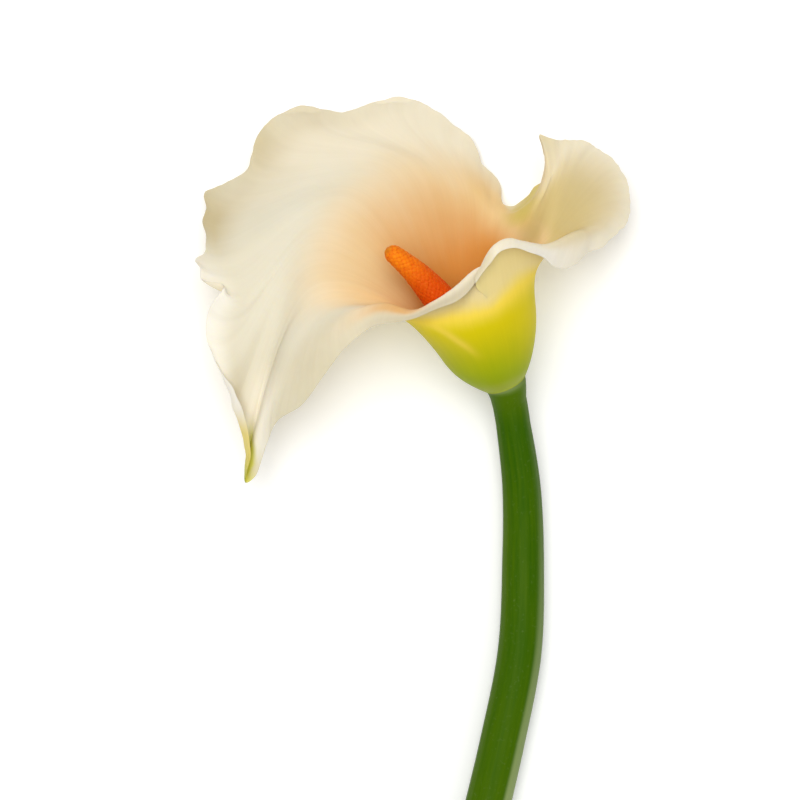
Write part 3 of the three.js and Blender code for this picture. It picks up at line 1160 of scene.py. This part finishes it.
@dataclass(frozen=True)
class SpatheColours:
    """Where each colour of the spathe lies, inside and out, painted shade and light among them."""

    tip: tuple[float, float, float] = (-43.5, -23.5, 15.0)
    furrow: Rows = (  # y, x of the furrow's right edge
        (-22.4, -42.6),
        (-17.9, -40.6),
        (-13.4, -40.2),
        (-9.0, -40.6),
        (-4.5, -41.2),
    )
    # the throat's blush and orange glow are partly its own warm colour and partly painted shade and
    # bounce light from the spadix, reaching higher at the right and back where the funnel is deepest
    blush_reach: Patches = (  # how far up the inside the blush goes
        Patch(0.56),
        Patch(0.2, turn=Slope(0.52, 0.76)),
        Patch(-0.12, turn=Slope(0.74, 0.79)),
        Patch(0.22, turn=Swell(0.695, 0.03)),
    )
    glow_reach: Patches = (  # how far up the inside the orange glow goes
        Patch(0.44),
        Patch(0.08, turn=Slope(0.52, 0.76)),
        Patch(-0.17, turn=Slope(0.7, 0.77)),
        Patch(-0.11, turn=Slope(0.5, 0.41)),
    )
    # painted shade: tan and orange in the crease above the front lip
    crease_shade: Patch = Patch(1.0, turn=Swell(0.165, 0.035), rise=Band(0.7, 0.78, 0.87, 0.96))
    # painted shade: tan and olive in the folds at the notch and on the cupped inside of the lobe
    # folded back at the right
    valley_shade: Patch = Patch(1.0, turn=Swell(0.745, 0.025), rise=Band(0.5, 0.65, 0.7, 0.84))
    notch: Patch = Patch(1.0, turn=Swell(0.729, 0.015), rise=Slope(0.72, 0.84))
    lobe_fold_shade: Patch = Patch(0.5, turn=Swell(0.763, 0.022), rise=Slope(0.7, 0.85))
    lobe: Patch = Patch(0.85, turn=Band(0.74, 0.79, 0.88, 0.95), rise=Band(0.5, 0.62, 0.7, 1.0))
    lobe_foot_shade: Patch = Patch(0.8, turn=Swell(0.785, 0.03), rise=Swell(0.54, 0.1))
    warm_tip: Patch = Patch(0.35, tip=Slope(16.0, 3.0))
    green_tip: Patch = Patch(0.85, turn=Slope(0.325, 0.345), tip=Slope(11.0, 3.0))
    front_lip: Patch = Patch(1.0, turn=Slope(0.24, 0.14), rise=Slope(0.87, 0.97))
    # painted shade: the inside's left half, from the lower limb up the left side, is painted a
    # darker, greyer cream
    left_shade: Patch = Patch(1.0, turn=Band(0.2, 0.26, 0.49, 0.58), rise=Slope(0.5, 0.64))
    # painted shade along the folds and creases: the left margin and crown, the lower limb, the tip
    # and the lap at the front
    fold_shade: Patches = (
        Patch(0.7, turn=Swell(0.509, 0.017), rise=Slope(0.8, 0.91)),
        Patch(0.2, turn=Swell(0.585, 0.035), rise=Slope(0.8, 0.9)),
        Patch(0.4, turn=Swell(0.553, 0.012), rise=Slope(0.8, 0.95)),
        Patch(0.4, turn=Swell(0.255, 0.05), rise=Slope(0.6, 0.84)),
        Patch(0.35, turn=Swell(0.403, 0.012), rise=Slope(0.84, 0.94), tip=Slope(10.0, 20.0)),
        Patch(0.4, turn=Swell(0.39, 0.025), rise=Swell(0.85, 0.035), tip=Slope(16.0, 24.0)),
        Patch(0.35, turn=Slope(0.97, 0.985), rise=Slope(0.86, 0.95)),
        Patch(0.22, turn=Swell(0.53, 0.05), rise=Slope(0.7, 0.9)),
    )
    # painted light on the inside: paler where the limb is lit, near the tip, along the left flap and
    # margin, and on the rolled band at the right of the front lip
    pale: Patches = (
        Patch(0.9, turn=Band(0.28, 0.31, 0.375, 0.4), tip=Slope(38.0, 24.0)),
        Patch(1.0, turn=Band(0.38, 0.41, 0.47, 0.5), rise=Slope(0.84, 0.97)),
        Patch(0.8, turn=Swell(0.92, 0.04), rise=Slope(0.86, 0.95)),
    )
    outer_glow_tip: Patch = Patch(0.6, tip=Slope(28.0, 16.0))
    outer_warm_tip: Patch = Patch(0.55, tip=Slope(22.0, 9.0))
    outer_green_tip: Patch = Patch(0.8, tip=Slope(11.0, 2.0))
    outer_blush: Patch = Patch(1.0, rise=Slope(0.92, 0.76))
    outer_lip: Patch = Patch(0.85, turn=Slope(0.24, 0.12), rise=Slope(0.58, 0.8))
    outer_neck: Patch = Patch(0.12, rise=Slope(0.08, 0.02))
    outer_pale: Patch = Patch(
        1.0, turn=Swell(0.405, 0.03), rise=Slope(0.8, 0.95), tip=Slope(16.0, 26.0)
    )
    outer_shy: Patch = Patch(0.05, turn=Swell(0.92, 0.05))  # where the green stays lower
    # painted highlight: a paler streak up the front of the tube, where the yellow and green give way
    # to cream
    highlight_streak: Patch = Patch(0.75, rise=Slope(0.18, 0.3))  # a paler streak up the tube's front
    streak_line: tuple[float, float] = (0.007392, 0.268)  # its turn at the neck, and its slope
    streak_width: float = 0.012
    tilt: tuple[float, float] = (0.03, 0.5)  # how far the green rises on one side, and its turn
    wobble: float = 0.007  # how uneven the borders of the colours are

    def places(self, rises: Values, turns: Values, grid: Points) -> Places:
        """Work out where the points of the sheet lie.

        Args:
            rises: The rows' shares of the way up.
            turns: The turn of every point, row by row.
            grid: Rows of points in millimetres.

        Returns:
            Their places.
        """
        tip = np.linalg.norm(grid - np.array(self.tip), axis=-1)
        bend = np.interp(grid[..., 1], *np.array(self.furrow).T)
        return Places(
            turn=turns,
            rise=rises[:, None] + 0.0 * turns,
            tip=tip,
            uneven=self.wobble * waves(turns, (0.11, 0.047, 0.023), SEED + 4),
            furrow=smoothstep(grid[..., 0] - bend, 0.5, -0.7) * smoothstep(tip, 22.0, 11.0),
        )

    def inside(self, at: Places) -> dict[Mask, Values]:
        """Work out the colours of the inside.

        Args:
            at: The places of the points.

        Returns:
            The weight of each colour at each point.
        """
        crease_shade, valley_shade, notch = (part.over(at) for part in (self.crease_shade, self.valley_shade, self.notch))
        # blush and glow: the throat's own warm colour, partly painted shade and bounce light deep in
        # the funnel
        blush = smoothstep(at.rise - (added(self.blush_reach, at) + at.uneven), 0.16, -0.14)
        glow = smoothstep(at.rise - (added(self.glow_reach, at) + at.uneven), 0.14, -0.12)
        pale = strongest(*(patch.over(at) for patch in self.pale))
        return {
            Mask.BLUSH: strongest(blush, crease_shade),
            Mask.GLOW: strongest(glow, 0.4 * crease_shade),
            # yellow: the tip's own warm colour, and painted shade at the notch and on the
            # folded-back lobe
            Mask.YELLOW: strongest(
                self.warm_tip.over(at),
                0.7 * valley_shade + 0.75 * notch + self.lobe_fold_shade.over(at),
                self.lobe.over(at),
                self.lobe_foot_shade.over(at),
            ),
            # green: the tip's own green and the furrow along it, and painted shade at the notch
            Mask.GREEN: strongest(
                self.green_tip.over(at), 0.8 * at.furrow, 0.3 * valley_shade + 0.25 * notch
            ),
            Mask.LIP: self.front_lip.over(at),
            Mask.SHADE: np.minimum(added(self.fold_shade, at), 1.0),
            Mask.LEFT_SHADE: self.left_shade.over(at),
            Mask.PALE: pale * smoothstep(at.tip, 4.0, 14.0) * (1.0 - at.furrow),
        }

    def outside(self, at: Places) -> dict[Mask, Values]:
        """Work out the colours of the outside.

        Args:
            at: The places of the points.

        Returns:
            The weight of each colour at each point.
        """
        line = self.streak_line[0] + self.streak_line[1] * at.rise
        # painted highlight streak up the tube's front
        highlight_streak = 1.0 - self.highlight_streak.over(at) * swell(at.turn, line, self.streak_width)
        level = at.rise - at.uneven
        tilted = level - self.tilt[0] * np.cos(TURN * at.turn - self.tilt[1])
        yellow = highlight_streak * smoothstep(tilted, 0.46, 0.3)
        green = 0.95 * highlight_streak * smoothstep(tilted + self.outer_shy.over(at), 0.34, 0.05)
        return {
            Mask.BLUSH: self.outer_blush.over(at),
            Mask.GLOW: strongest(smoothstep(level, 0.64, 0.46), self.outer_glow_tip.over(at)),
            Mask.YELLOW: strongest(yellow, self.outer_warm_tip.over(at)),
            Mask.GREEN: strongest(green, self.outer_green_tip.over(at)),
            Mask.LIP: strongest(self.outer_lip.over(at), self.outer_neck.over(at)),
            Mask.SHADE: np.zeros_like(at.rise),
            Mask.LEFT_SHADE: np.zeros_like(at.rise),
            Mask.PALE: self.outer_pale.over(at),
        }


# ---------------------------------------------------------------- the spathe


@dataclass(frozen=True)
class TubeRing:
    """A round section of the spathe's tube at a share of the way from the neck to the margin."""

    rise: float
    at: tuple[float, float, float]
    radius: float
    left: float
    up: float

    def points(self, turns: Values) -> Points:
        """Return the ring's points.

        Args:
            turns: Turns round the tube, from the front by the left.

        Returns:
            One point for each turn, in millimetres.
        """
        axis = axis_of(self.left, self.up)
        front = unit(UP - axis * axis[2])
        side = np.cross(front, axis)
        angle = (TURN * turns)[:, None]
        return np.array(self.at) + self.radius * (np.cos(angle) * front + np.sin(angle) * side)


@dataclass
class Spathe:
    """The one large leaf: a tube at the neck that opens into a wide, waved and rolled limb.

    The sheet runs through round sections of its tube and then through three free lines, each of
    which goes once round the flower, from the overlapped edge at the front, by the left, the back
    and the right, to the edge that laps over it. A row is its turn, then x, y and z in millimetres.
    """

    tube: tuple[TubeRing, ...] = (
        TubeRing(0.0, NECK.at, 6.1, NECK.left, NECK.up),
        TubeRing(0.1, (26.0, 11.0, 21.0), 11.5, 17.0, 25.0),
        TubeRing(0.21, (23.5, 19.0, 25.0), 14.9, 16.0, 27.0),
        TubeRing(0.33, (20.0, 27.0, 29.5), 17.8, 18.0, 29.0),
    )
    direction: Rows = (  # the turn on the free lines, then the turn round the tube
        (-0.03, -0.07), (0.0, -0.035), (0.1, 0.085), (0.2, 0.21), (0.3, 0.265), (0.4, 0.31),
        (0.5, 0.395), (0.6, 0.49), (0.7, 0.585), (0.8, 0.705), (0.88, 0.77), (0.94, 0.85),
        (1.0, 0.965), (1.03, 1.0),
    )
    throat_rise: float = 0.6
    throat: Rows = (
        (-0.03, 27, 28, 47.5), (0, 24, 27, 48.5), (0.07, 16, 25.5, 47), (0.15, 4, 23, 42.5),
        (0.22, -9.5, 25, 36), (0.3, -22.5, 25.5, 31), (0.36, -26, 31.5, 28.5),
        (0.42, -24.5, 43, 25), (0.5, -14, 58.5, 19), (0.58, 4, 65.5, 13), (0.64, 17.5, 59.5, 11),
        (0.7, 27, 50.5, 13.5), (0.75, 34.5, 50, 21), (0.785, 39.5, 49.5, 29), (0.85, 42, 44, 32.5),
        (0.91, 38.5, 38, 37), (0.955, 32, 35, 45), (1, 24, 27, 48.5), (1.03, 20.5, 26.5, 49.5),
    )
    roll_rise: float = 0.86
    roll: Rows = (
        # the front lip
        (-0.03, 27.5, 35.5, 48.5), (0, 24.5, 36, 49.5), (0.03, 21, 35, 50.5), (0.05, 19, 33.5, 51),
        (0.07, 16.5, 31, 51), (0.11, 10, 26.5, 48.5), (0.15, 2.5, 23.4, 45.3),
        (0.18, -5, 25.2, 41),
        # along the lower left to the rolled tip
        (0.215, -15, 21.3, 37.2), (0.25, -23, 14, 32.5), (0.28, -31, 5.5, 28.5),
        (0.305, -37, -2, 25), (0.325, -40, -9, 21), (0.34, -41.8, -15.5, 16),
        (0.352, -42.9, -17, 15.5), (0.365, -42.9, -13.5, 17), (0.383, -43.8, -8, 20),
        # up the left side and over the crown
        (0.397, -46, -1, 22.5), (0.412, -46.5, 6.5, 25), (0.435, -47, 18, 26),
        (0.46, -44.5, 28, 27), (0.485, -48, 38.5, 24), (0.51, -49, 49, 17), (0.54, -39, 62, 11),
        (0.57, -28.5, 75.5, 5), (0.6, -14, 77.5, 4.5), (0.63, 0, 80.5, 3.5), (0.66, 17, 71, 5),
        (0.69, 26, 58.5, 6),
        # the notch and the lobe folded back at the right
        (0.715, 31.5, 53, 11), (0.74, 38.3, 57, 21), (0.765, 41.1, 63, 26.5),
        (0.785, 44.5, 66, 25.5), (0.81, 51, 66.5, 21.5), (0.83, 57, 62.5, 18.5),
        (0.85, 59.5, 55, 19), (0.87, 56, 48.5, 23), (0.89, 49, 45, 31), (0.915, 40.5, 42, 39.5),
        # the edge that laps over the front lip
        (0.94, 33.5, 42.5, 47.5), (0.96, 29, 43, 52), (0.975, 26, 41.5, 54), (0.99, 24, 39, 54),
        (1.005, 22.5, 36, 53.5), (1.03, 20, 31.5, 53),
    )
    margin: Rows = (
        # the front lip
        (-0.03, 27.5, 39, 49.5), (0, 24.5, 38, 50.5), (0.02, 22, 34, 51.5), (0.04, 19.5, 30.5, 52),
        (0.07, 16, 27, 52.5), (0.11, 10, 24.5, 50.5), (0.15, 2, 21.5, 46.5),
        (0.175, -5.5, 20.5, 42), (0.2, -10, 18.5, 38),
        # along the lower left to the rolled tip
        (0.22, -15.5, 14, 34), (0.24, -21, 7, 30), (0.26, -27, -1, 26), (0.28, -34, -5.5, 23),
        (0.3, -37, -11, 20), (0.318, -39, -17, 18), (0.333, -40.7, -21.5, 16),
        (0.345, -43.5, -23.5, 14.5), (0.356, -43.5, -21, 19), (0.368, -42, -15.5, 23),
        (0.38, -42.5, -8.5, 26),
        # up the left side to the spur
        (0.392, -44.5, -1.5, 28), (0.405, -47, 4, 29), (0.42, -51.5, 10.5, 28),
        (0.435, -54, 18.5, 27), (0.45, -52.5, 26.5, 28.5), (0.46, -49, 32, 31),
        (0.4665, -55, 33.1, 29.6), (0.473, -55.8, 36.2, 27.6), (0.48, -57.6, 39.4, 24.5),
        (0.4865, -55, 40.9, 20), (0.4925, -54.4, 43.6, 16.5), (0.4985, -54.2, 46.6, 14.5),
        (0.505, -55.6, 50.3, 12), (0.5125, -54.4, 54.3, 9.8), (0.52, -55.4, 58.6, 8),
        # over the crown, which touches the table
        (0.53, -49.5, 61.5, 7), (0.54, -42.5, 66, 7.5), (0.552, -41.5, 73, 5),
        (0.565, -37, 80, 1.5), (0.58, -27.5, 84, -2.5), (0.597, -16.5, 82, 1.5),
        (0.61, -10, 84, 1), (0.625, -1.5, 86.5, -2.5), (0.64, 7, 84.5, 0.5),
        (0.653, 14.5, 79.5, 1.5), (0.663, 20, 75, 2.5), (0.68, 23.5, 67, 2), (0.692, 28, 63, 0.5),
        # the notch and the lobe folded back at the right
        (0.703, 28.5, 56, 3), (0.715, 33, 55, 8), (0.728, 37.5, 59, 16), (0.74, 40.5, 61.5, 22),
        (0.755, 41, 67, 24), (0.764, 41.4, 71.2, 25.6), (0.77, 38.2, 74, 27),
        (0.776, 42, 72.8, 25), (0.783, 44, 72.5, 23), (0.8, 51.5, 72.5, 19),
        (0.815, 57.5, 69.5, 16), (0.83, 62.5, 64.5, 14), (0.845, 65, 56, 14), (0.86, 63, 48.5, 15),
        (0.867, 60.5, 46, 17.5), (0.871, 57.8, 44.4, 19), (0.875, 56.2, 41.9, 21),
        (0.879, 52.8, 41.6, 23), (0.885, 49, 38, 27), (0.9, 43, 36.5, 34),
        # the edge that laps over the front lip
        (0.917, 39, 39, 41), (0.935, 35, 40, 47.5), (0.95, 31, 41, 52), (0.965, 27, 40, 54.5),
        (0.98, 24.5, 37, 55), (1, 23, 35, 55), (1.03, 20, 30.5, 54),
    )
    bands: Rows = (  # start, end and number of the rows' rises: closer towards the margin
        (0.0, 0.33, 20), (0.33, 0.6, 20), (0.6, 0.86, 26), (0.86, 0.985, 22),
    )
    last_rises: tuple[float, ...] = (0.9885, 0.992, 0.9948, 0.997, 0.9986, 1.0)
    columns: int = 800
    part_rise: float = 0.6  # above it the sheet is open at the front
    close_rise: float = 0.86  # below it the two edges draw together
    seam_blend: float = 0.1  # turns over which they do
    laps: tuple[float, float] = (0.012, 0.025)  # turns past the front: lower edge, upper edge
    lap_start: float = 0.64
    lap_rise: float = 0.88
    softening: int = 3  # how often the sheet's kinks are eased
    wall: Rows = ((0.0, 1.3), (0.33, 1.0), (0.86, 0.75), (1.0, 0.65))  # rise, thickness
    thin: tuple[float, float] = (0.86, 0.97)  # rises over which the wall thins to its edge
    edge_wall: float = 0.34
    top_round: float = 0.013  # rise over which the margin is rounded
    side_thin: float = 15.0  # columns over which the wall thins to a free side
    side_round: float = 3.5  # columns over which a free side is rounded
    notches: Rows = (  # how deep, at which turn and how wide the nibbled stretches are
        (1.0, 0.5, 0.035), (0.6, 0.67, 0.035), (0.35, 0.59, 0.04), (1.0, 0.86, 0.03),
        (0.7, 0.81, 0.025),
    )
    nibble: float = 0.9  # depth of the small notches in the margin
    nibble_waves: tuple[float, ...] = (0.0213, 0.0131, 0.0077)
    ruffle: float = 0.4  # height of the small waves of the limb
    ruffle_waves: tuple[float, ...] = (0.031, 0.0173, 0.0117)
    ruffled: Band = Band(0.18, 0.3, 0.86, 0.93)  # at these turns
    ruffle_calm: Swell = Swell(0.33, 0.07)  # less round the tip
    pleat: float = 0.05  # height of the fine folds up the sheet
    pleat_waves: tuple[float, ...] = (0.052, 0.031, 0.0137)
    pleated: Band = Band(0.0, 0.06, 0.94, 1.0)
    pleat_calm: Swell = Swell(0.28, 0.12)

    def _whole(self, rises: Values) -> NDArray[np.bool_]:
        """Return which rows run whole round the flower, without a gap at the front."""
        return rises <= self.part_rise

    def _full_wall(self, rises: Values) -> Values:
        """Return the thickness of the wall, row by row, apart from its thin edges."""
        return np.interp(rises, *np.array(self.wall).T)[:, None]

    def _rises(self) -> Values:
        """Return the rows' shares of the way up, closest at the margin."""
        bands = [np.linspace(start, end, int(count)) for start, end, count in self.bands]
        return np.unique(np.concatenate([*bands, self.last_rises]).round(6))

    def _turns(self, rises: Values) -> Values:
        """Place the points round the flower, with the two edges lapping above the throat.

        Args:
            rises: The rows' shares of the way up.

        Returns:
            The turn of every point, row by row.
        """
        half = 0.5 * (self.lap_start + self.lap_rise)
        under = self.laps[0] * smoothstep(rises, self.lap_start, self.lap_rise)[:, None]
        over = self.laps[1] * smoothstep(rises, self.part_rise, half)[:, None]
        steps = np.linspace(0.0, 1.0, self.columns + 1)
        return -under + steps[None, :] * (1.0 + under + over)

    def _sheet(self, rises: Values, turns: Values) -> Points:
        """Loft the sheet through its tube and its free lines.

        Args:
            rises: The rows' shares of the way up.
            turns: The turn of every point, row by row.

        Returns:
            Rows of points in millimetres.
        """
        direction = Strand.of(self.direction)
        lines = [Strand.of(rows) for rows in (self.throat, self.roll, self.margin)]
        marks = np.array([*(ring.rise for ring in self.tube), self.throat_rise, self.roll_rise, 1.0])
        grid = np.zeros((len(rises), self.columns + 1, 3))
        steps = np.linspace(0.0, 1.0, self.columns + 1)
        near = smoothstep(steps, self.seam_blend, 0.0)
        far = smoothstep(steps, 1.0 - self.seam_blend, 1.0)
        closed = smoothstep(rises, self.close_rise, self.part_rise)
        for i, rise in enumerate(rises):
            here = np.append(turns[i], [0.0, 1.0])
            around = direction.at(here)[:, 0]
            knots = [ring.points(around) for ring in self.tube] + [line.at(here) for line in lines]
            row = Strand(marks, np.stack(knots)).at(rise)[0]
            opening = row[-1] - row[-2]
            grid[i] = row[:-2] + (0.5 * closed[i] * (near - far))[:, None] * opening
        return grid

    def _soften(self, grid: Points, rises: Values) -> None:
        """Ease the sheet's small kinks in place, leaving its edges where they are.

        Args:
            grid: Rows of points in millimetres.
            rises: The rows' shares of the way up.
        """
        whole = self._whole(rises)
        for _ in range(self.softening):
            ring = grid[whole, :-1]
            ring = (np.roll(ring, 1, axis=1) + 2.0 * ring + np.roll(ring, -1, axis=1)) / 4.0
            grid[whole] = np.concatenate([ring, ring[:, :1]], axis=1)
        parted = grid[~whole]
        settle(parted.swapaxes(0, 1), self.softening)
        grid[~whole] = parted
        below, above = (np.diff(rises)[part, None, None] for part in (slice(-1), slice(1, None)))
        for _ in range(self.softening):
            level = (grid[:-2] * above + grid[2:] * below) / (below + above)
            grid[1:-1] = 0.5 * grid[1:-1] + 0.5 * level

    def _notched(self, grid: Points, rises: Values, turns: Values) -> Points:
        """Nibble small notches into the margin where it is crisp: the left side, crown and lobe.

        Args:
            grid: Rows of points in millimetres.
            rises: The rows' shares of the way up.
            turns: The turn of every point, row by row.

        Returns:
            The rows of points with the notches.
        """
        where = sum(deep * swell(turns, turn, width) for deep, turn, width in self.notches)
        bites = np.abs(waves(turns, self.nibble_waves, SEED + 9)) ** 0.7
        depth = self.nibble * np.minimum(where, 1.0) * bites * smoothstep(rises, 0.93, 1.0)[:, None]
        return grid - unit(np.gradient(grid, axis=0)) * depth[:, :, None]

    def _normals(self, grid: Points, rises: Values) -> Points:
        """Find which way the sheet faces.

        Args:
            grid: Rows of points in millimetres.
            rises: The rows' shares of the way up.

        Returns:
            The direction across the sheet, towards its inside, at each of its points.
        """
        turning = np.gradient(grid, axis=1)
        whole = self._whole(rises)
        turning[whole, 0] = turning[whole, -1] = grid[whole, 1] - grid[whole, -2]
        normals = unit(np.cross(turning, np.gradient(grid, axis=0)))
        axis = NECK.axis()
        normals[0] = unit(normals[0] - (normals[0] @ axis)[:, None] * axis)
        return normals

    def _thickness(self, rises: Values) -> Values:
        """Work out the sheet's thickness at each point, thin and round at its edges.

        Args:
            rises: The rows' shares of the way up.

        Returns:
            Thicknesses in millimetres.
        """
        column = np.arange(self.columns + 1)
        side = np.minimum(column, self.columns - column)[None, :]
        side = np.where(self._whole(rises)[:, None], self.columns, side)
        free = smoothstep(side, self.side_thin, 0.0)
        thin = np.maximum(smoothstep(rises, *self.thin)[:, None], free)
        body = self._full_wall(rises) * (1.0 - thin) + self.edge_wall * thin
        above = (1.0 - rises)[:, None] / self.top_round
        reach = np.minimum(np.minimum(above, side / self.side_round), 1.0)
        return body * np.sqrt(np.clip(1.0 - (1.0 - reach) ** 2, 0.02, 1.0))

    def _waved(self, rises: Values, turns: Values) -> Values:
        """Work out the small ruffles of the limb and the fine pleats along the sheet.

        Args:
            rises: The rows' shares of the way up.
            turns: The turn of every point, row by row.

        Returns:
            How far each point moves towards the inside, in millimetres.
        """
        lively = smoothstep(rises, 0.74, 1.0)[:, None] * self.ruffled.over(turns)
        lively = lively * (1.0 - 0.75 * self.ruffle_calm.over(turns))
        frill = self.ruffle * lively * waves(turns, self.ruffle_waves, SEED)
        pleats = self.pleat * smoothstep(rises, 0.3, 0.7)[:, None]
        pleats = pleats * waves(turns, self.pleat_waves, SEED + 2) * self.pleated.over(turns)
        return frill + pleats * (1.0 - 0.8 * self.pleat_calm.over(turns))

    def _faces(self, rises: Values, turns: Values) -> tuple[Numbers, Values, Numbers]:
        """Close the sheet: its inside, its outside and the rims between them.

        Args:
            rises: The rows' shares of the way up.
            turns: The turn of every point, row by row.

        Returns:
            The faces, whose point numbers give the inside first, then the coordinates of their
            corners on the flat sheet, and the number of each face's material.
        """
        rows, width = turns.shape
        count = rows * width
        number = np.arange(count).reshape(rows, width)
        whole = self._whole(rises)
        number[whole, -1] = number[whole, 0]
        cells, sheet = [], []

        def lay(corners: list[Spot], shifts: tuple[int, ...]) -> None:
            """Lay faces between corners.

            Args:
                corners: The rows and columns of the four corners of each face.
                shifts: 0 for a corner on the inside, and the count of points for one outside.
            """
            spots = [number[spot] + shift for spot, shift in zip(corners, shifts)]
            flat = [np.stack([turns[spot], rises[spot[0]]], axis=1) for spot in corners]
            cells.append(np.stack(spots, axis=1))
            sheet.append(np.stack(flat, axis=1))

        corners = cell_corners(rows - 1, self.columns)
        lay(corners[::-1], (0,) * 4)
        lay(corners, (count,) * 4)
        j = np.arange(self.columns)
        bottom, top = np.zeros_like(j), np.full_like(j, rows - 1)
        i = np.arange(int(np.argmax(~whole)) - 1, rows - 1)
        start, end = np.zeros_like(i), np.full_like(i, self.columns)
        for one, other in (
            ((bottom, j + 1), (bottom, j)),
            ((top, j), (top, j + 1)),
            ((i, start), (i + 1, start)),
            ((i + 1, end), (i, end)),
        ):
            lay([one, other, other, one], (0, 0, count, count))
        faces = np.vstack(cells)
        surfaces = np.zeros(len(faces), np.int64)
        surfaces[len(corners[0][0]) : 2 * len(corners[0][0])] = 1
        return faces, np.concatenate(sheet).reshape(-1, 2), surfaces

    def build(self) -> bpy.types.Object:
        """Make the spathe.

        Returns:
            The spathe's object.
        """
        rises = self._rises()
        turns = self._turns(rises)
        grid = self._sheet(rises, turns)
        self._soften(grid, rises)
        grid = self._notched(grid, rises, turns)
        normals = self._normals(grid, rises)
        shift = 0.5 * self._full_wall(rises) + self._waved(rises, turns)
        middle = grid + normals * shift[:, :, None]
        half = 0.5 * self._thickness(rises)
        inner = middle + normals * half[:, :, None]
        outer = middle - normals * half[:, :, None]
        outer[:, :, 2] = np.maximum(outer[:, :, 2], 0.0)
        inner[:, :, 2] = np.maximum(inner[:, :, 2], 2.0 * half)
        points = np.vstack([inner.reshape(-1, 3), outer.reshape(-1, 3)])

        colours = SpatheColours()
        at = colours.places(rises, turns, grid)
        inside, outside = colours.inside(at), colours.outside(at)
        faces, sheet, surfaces = self._faces(rises, turns)
        used, renumbered = np.unique(faces, return_inverse=True)
        weights = {
            mask: np.concatenate([values.ravel(), outside[mask].ravel()])[used]
            for mask, values in inside.items()
        }
        made = smooth_object(
            "spathe_sheet",
            points[used],
            renumbered.reshape(faces.shape),
            [INSIDE.build(), OUTSIDE.build()],
            weights,
        )
        lay_sheet(made, sheet, surfaces)
        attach(made, "root")
        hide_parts("spathe")
        LOG.info("spathe: %d points", len(used))
        return made


# ---------------------------------------------------------------- the studio


@dataclass(frozen=True)
class Lamp:
    """A soft square lamp, in metres and watts."""

    name: str
    at: tuple[float, float, float]
    side: float
    power: float
    tone: tuple[float, float, float]

    def build(self, target: Vector) -> None:
        """Hang the lamp so that it faces a point.

        Args:
            target: The point that it faces.
        """
        light = bpy.data.lights.new(self.name, "AREA")
        light.energy = self.power
        light.size = self.side
        light.color = self.tone
        lamp = bpy.data.objects.new(self.name, light)
        lamp.location = self.at
        lamp.rotation_euler = (target - lamp.location).to_track_quat("-Z", "Y").to_euler()
        bpy.context.scene.collection.objects.link(lamp)


@dataclass
class Studio:
    """The pale table, soft light, and the camera that looks straight down on the flower."""

    sight: tuple[float, float] = (-0.004, 0.0512)  # the point below the camera
    bloom_height: float = 0.02  # where the lamps point, over that spot
    distance: float = 0.95
    view: float = 0.2288  # width of the view on the table
    film: float = 36.0  # width of the camera's film, in millimetres
    floor: float = 6.0  # side of the table
    lamps: tuple[Lamp, ...] = (
        Lamp("key", (-0.12, 0.3, 1.15), 0.75, 9.6, (1.0, 0.99, 0.975)),
        Lamp("fill", (0.35, -0.7, 0.8), 0.8, 2.4, (0.98, 0.99, 1.0)),
    )
    sky: float = 0.4

    def _table(self) -> None:
        """Lay the table."""
        half = self.floor / 2.0
        mesh = bpy.data.meshes.new("table")
        corners = [(-half, -half, 0.0), (half, -half, 0.0), (half, half, 0.0), (-half, half, 0.0)]
        mesh.from_pydata(corners, [], [(0, 1, 2, 3)])
        mesh.materials.append(TableFinish().build())
        table = bpy.data.objects.new("table", mesh)
        bpy.context.scene.collection.objects.link(table)

    def _light(self) -> None:
        """Light the room from all sides and hang the lamps."""
        world = bpy.data.worlds.new("soft_room")
        world.use_nodes = True
        air = world.node_tree.nodes["Background"].inputs
        air["Color"].default_value = (1.0, 1.0, 1.0, 1.0)
        air["Strength"].default_value = self.sky
        bpy.context.scene.world = world
        for lamp in self.lamps:
            lamp.build(Vector((*self.sight, self.bloom_height)))

    def build(self) -> None:
        """Lay the table, hang the lamps and set the camera."""
        self._table()
        self._light()
        camera = bpy.data.cameras.new("camera")
        camera.sensor_width = self.film
        camera.lens = self.film * self.distance / self.view
        camera.clip_start = 0.01
        holder = bpy.data.objects.new("camera", camera)
        holder.location = (*self.sight, self.distance)
        bpy.context.scene.collection.objects.link(holder)
        bpy.context.scene.camera = holder
        bpy.context.scene.view_settings.view_transform = "Standard"
        LOG.info("studio: table, %d lamps, %.1f mm lens", len(self.lamps), camera.lens)


# ---------------------------------------------------------------- the flower


def main() -> None:
    """Build the studio and the flower, and report each piece."""
    logging.basicConfig(level=logging.INFO, format="%(name)s: %(message)s")
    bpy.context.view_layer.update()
    Studio().build()
    for builder in (Stem(), Spathe(), Spadix()):
        made = builder.build()
        LOG.info("made %s for %s", made.name, type(builder).__name__.lower())


if __name__ == "__main__":
    main()
